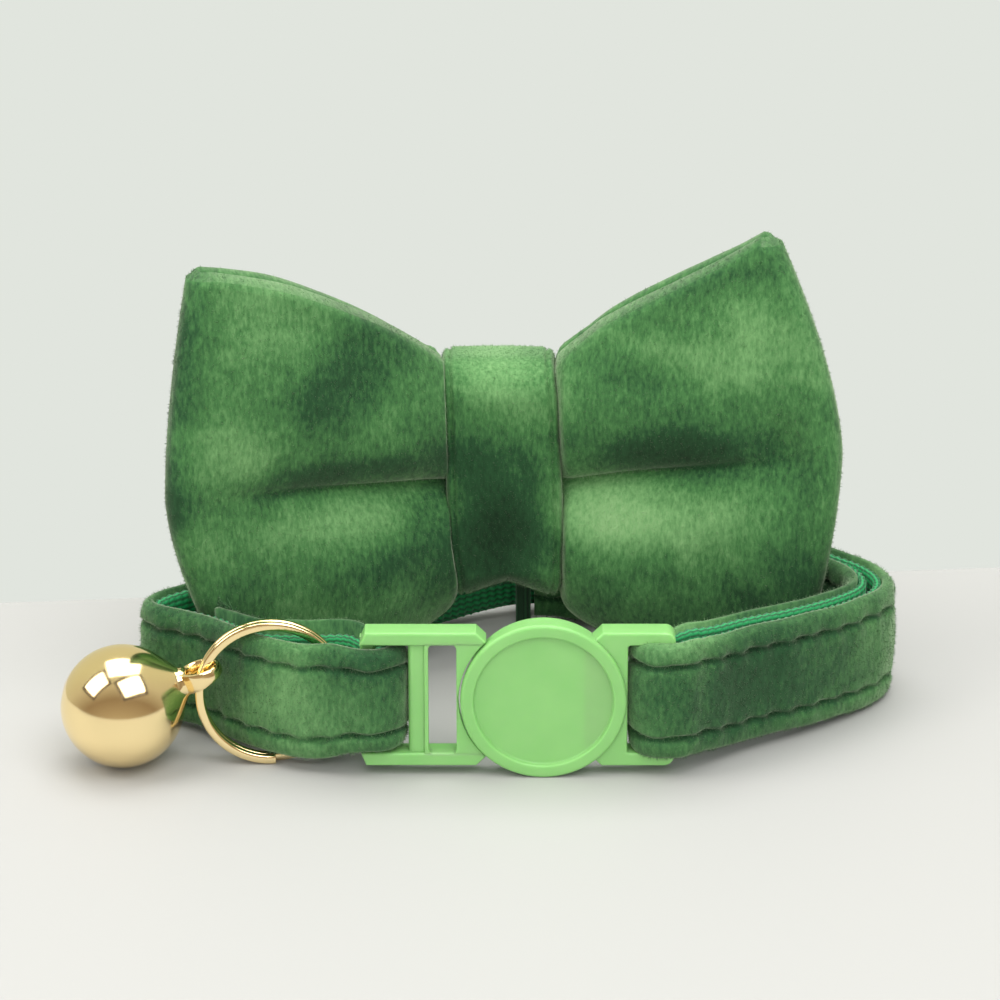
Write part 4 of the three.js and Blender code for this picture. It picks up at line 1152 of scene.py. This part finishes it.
body = loose_object("bell_blank", outer)
tools = [loose_object("bell_hollow", inner), loose_object("bell_slot", cutter)]
for tool in tools:
    cut = body.modifiers.new("cut", "BOOLEAN")
    cut.operation, cut.solver, cut.object = "DIFFERENCE", "EXACT", tool
pressed = bpy.data.meshes.new_from_object(
    body.evaluated_get(bpy.context.evaluated_depsgraph_get()))
ball = (np.array([v.co[:] for v in pressed.vertices]),
        [tuple(f.vertices) for f in pressed.polygons])
for thing in (body, *tools):
    bpy.data.objects.remove(thing)
print("bell ball", len(ball[0]), "points")

# %% Bell's link, and the whole bell
LINK_HALF = 1.8
LINK_THICK = 0.35
link = []
for t in np.arange(64) * 2 * math.pi / 64:
    out = np.array([0, math.sin(t), math.cos(t)])
    middle = LINK_HALF * out + (0, BAIL_REACH, 0)
    link_width = 1.15 - 0.55 * (1 + math.sin(t)) / 2  # narrows toward its tip
    link += [middle + out * a + (b, 0, 0)
             for a, b in rounded_section(LINK_THICK, link_width, 2.8, 16)]
points, faces = joined([ball, (link, facing_out(link, ring_faces(64, 16, True)))])
# The shape was made standing along Y. Its axis turns to Z, then leans over to the ring.
points = points @ np.array(rotation(90 - BELL_TILT, "Y") @ rotation(90, "X")).T + BELL_AT
bell = add_piece("jingle_bell", points, faces, GOLD_PLATE, crisp=40)
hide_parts("bell")
pellet_low, pellet_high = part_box("bell_pellet")
pellet_radius = (pellet_high.x - pellet_low.x) / MM / 2
points, faces = turned(ball_profile(pellet_radius, 3, 177, 30), 48)
pellet_at = np.array((pellet_low + pellet_high) / 2) / MM - FRONT
pellet = add_piece("bell_ball", points + pellet_at, faces, PLAIN_STEEL)
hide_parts("bell_pellet")

# %% [markdown]
# ## Elastic
# A loop of narrow elastic on the back of the knot goes round the strap and holds the bow on.
# It is one flat band with soft edges, on a rounded path from the knot round the strap.

# %% Elastic loop
elastic_low, elastic_high = (np.array(v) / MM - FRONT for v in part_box("bow_elastic"))
mid = (elastic_low + elastic_high) / 2
half = (elastic_high - elastic_low) / 2 - ELASTIC_THICK / 2
loop, loop_out = round_rect(half[1], half[2], 1.0, 96)
band = rounded_section(ELASTIC_THICK / 2, ELASTIC_WIDTH / 2, 4.0, 16)
rings = np.array([[(mid[0] + b, mid[1] + y + oy * a, mid[2] + z + oz * a) for a, b in band]
                  for (y, z), (oy, oz) in zip(loop, loop_out)])
around_strap = run_along(np.vstack([loop, loop[:1]]))[-1]
print("elastic loop", round(float(around_strap), 1), "mm round")
elastic = skin("elastic_loop", rings, ELASTIC_CLOTH, closed=True)
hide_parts("bow_elastic")

# %% [markdown]
# ## Pile that stands out
# Velvet's outline is never sharp: its fibres stand out of the edge as a pale fuzz. Hair would
# be lost in an exported model. So each fibre here is a tiny closed spike, rooted in the skin,
# and all spikes of a piece are one mesh. They lean down a little, as brushed pile does. Real
# fibres are far finer and denser. These are as coarse as the picture needs.

# %% Fibres
FIBRE_HALF = 0.034
FIBRE_ROOT = 0.06  # how deep a fibre stands in the skin
FIBRE_LEAN = -0.25
ABOVE_TABLE = 0.02


def pile(name, grid, count, length, material, seed, flip):
    """Spikes on a grid of points, seeded so that every run makes the same ones."""
    rng = np.random.default_rng(seed)
    a, b, c = grid[:-1, :-1], grid[1:, :-1], grid[:-1, 1:]
    normal = np.cross(b - a, c - a) * flip
    size = np.linalg.norm(normal, axis=-1)
    pick = rng.choice(size.size, count, p=(size / size.sum()).ravel())
    i, j = np.unravel_index(pick, size.shape)
    u, v = rng.random((2, count, 1))
    root = a[i, j] + u * (b[i, j] - a[i, j]) + v * (c[i, j] - a[i, j])
    out = normal[i, j] / np.maximum(size[i, j], 1e-9)[:, None]
    go = unit(out + rng.normal(0, 0.5, (count, 3)) + (0, 0, FIBRE_LEAN))
    side = unit(np.cross(go, rng.normal(0, 1, (count, 3))))
    up = np.cross(go, side)
    tall = length * rng.uniform(0.45, 1.0, (count, 1))
    foot = root - out * FIBRE_ROOT
    points = np.stack([foot + side * FIBRE_HALF, foot + (-0.5 * side + 0.87 * up) * FIBRE_HALF,
                       foot + (-0.5 * side - 0.87 * up) * FIBRE_HALF, root + go * tall], 1)
    points = points.reshape(-1, 3)
    points[:, 2] = np.maximum(points[:, 2], ABOVE_TABLE)
    first = np.arange(count)[:, None] * 4
    faces = np.concatenate([first + k for k in ([0, 2, 1], [0, 1, 3], [1, 2, 3], [2, 0, 3])], 1)
    faces = [tuple(f) for f in faces.reshape(-1, 3).tolist()]
    return add_piece(name, points, faces, material)


pile("strap_pile", strap_grid, 48000, 0.4, STRAP_VELVET, 11, flip=-1)
pile("bow_pile", bow_grid, 48000, 0.34, BOW_VELVET, 12, flip=1)
pile("knot_pile", knot_grid, 12000, 0.3, BOW_VELVET, 13, flip=1)
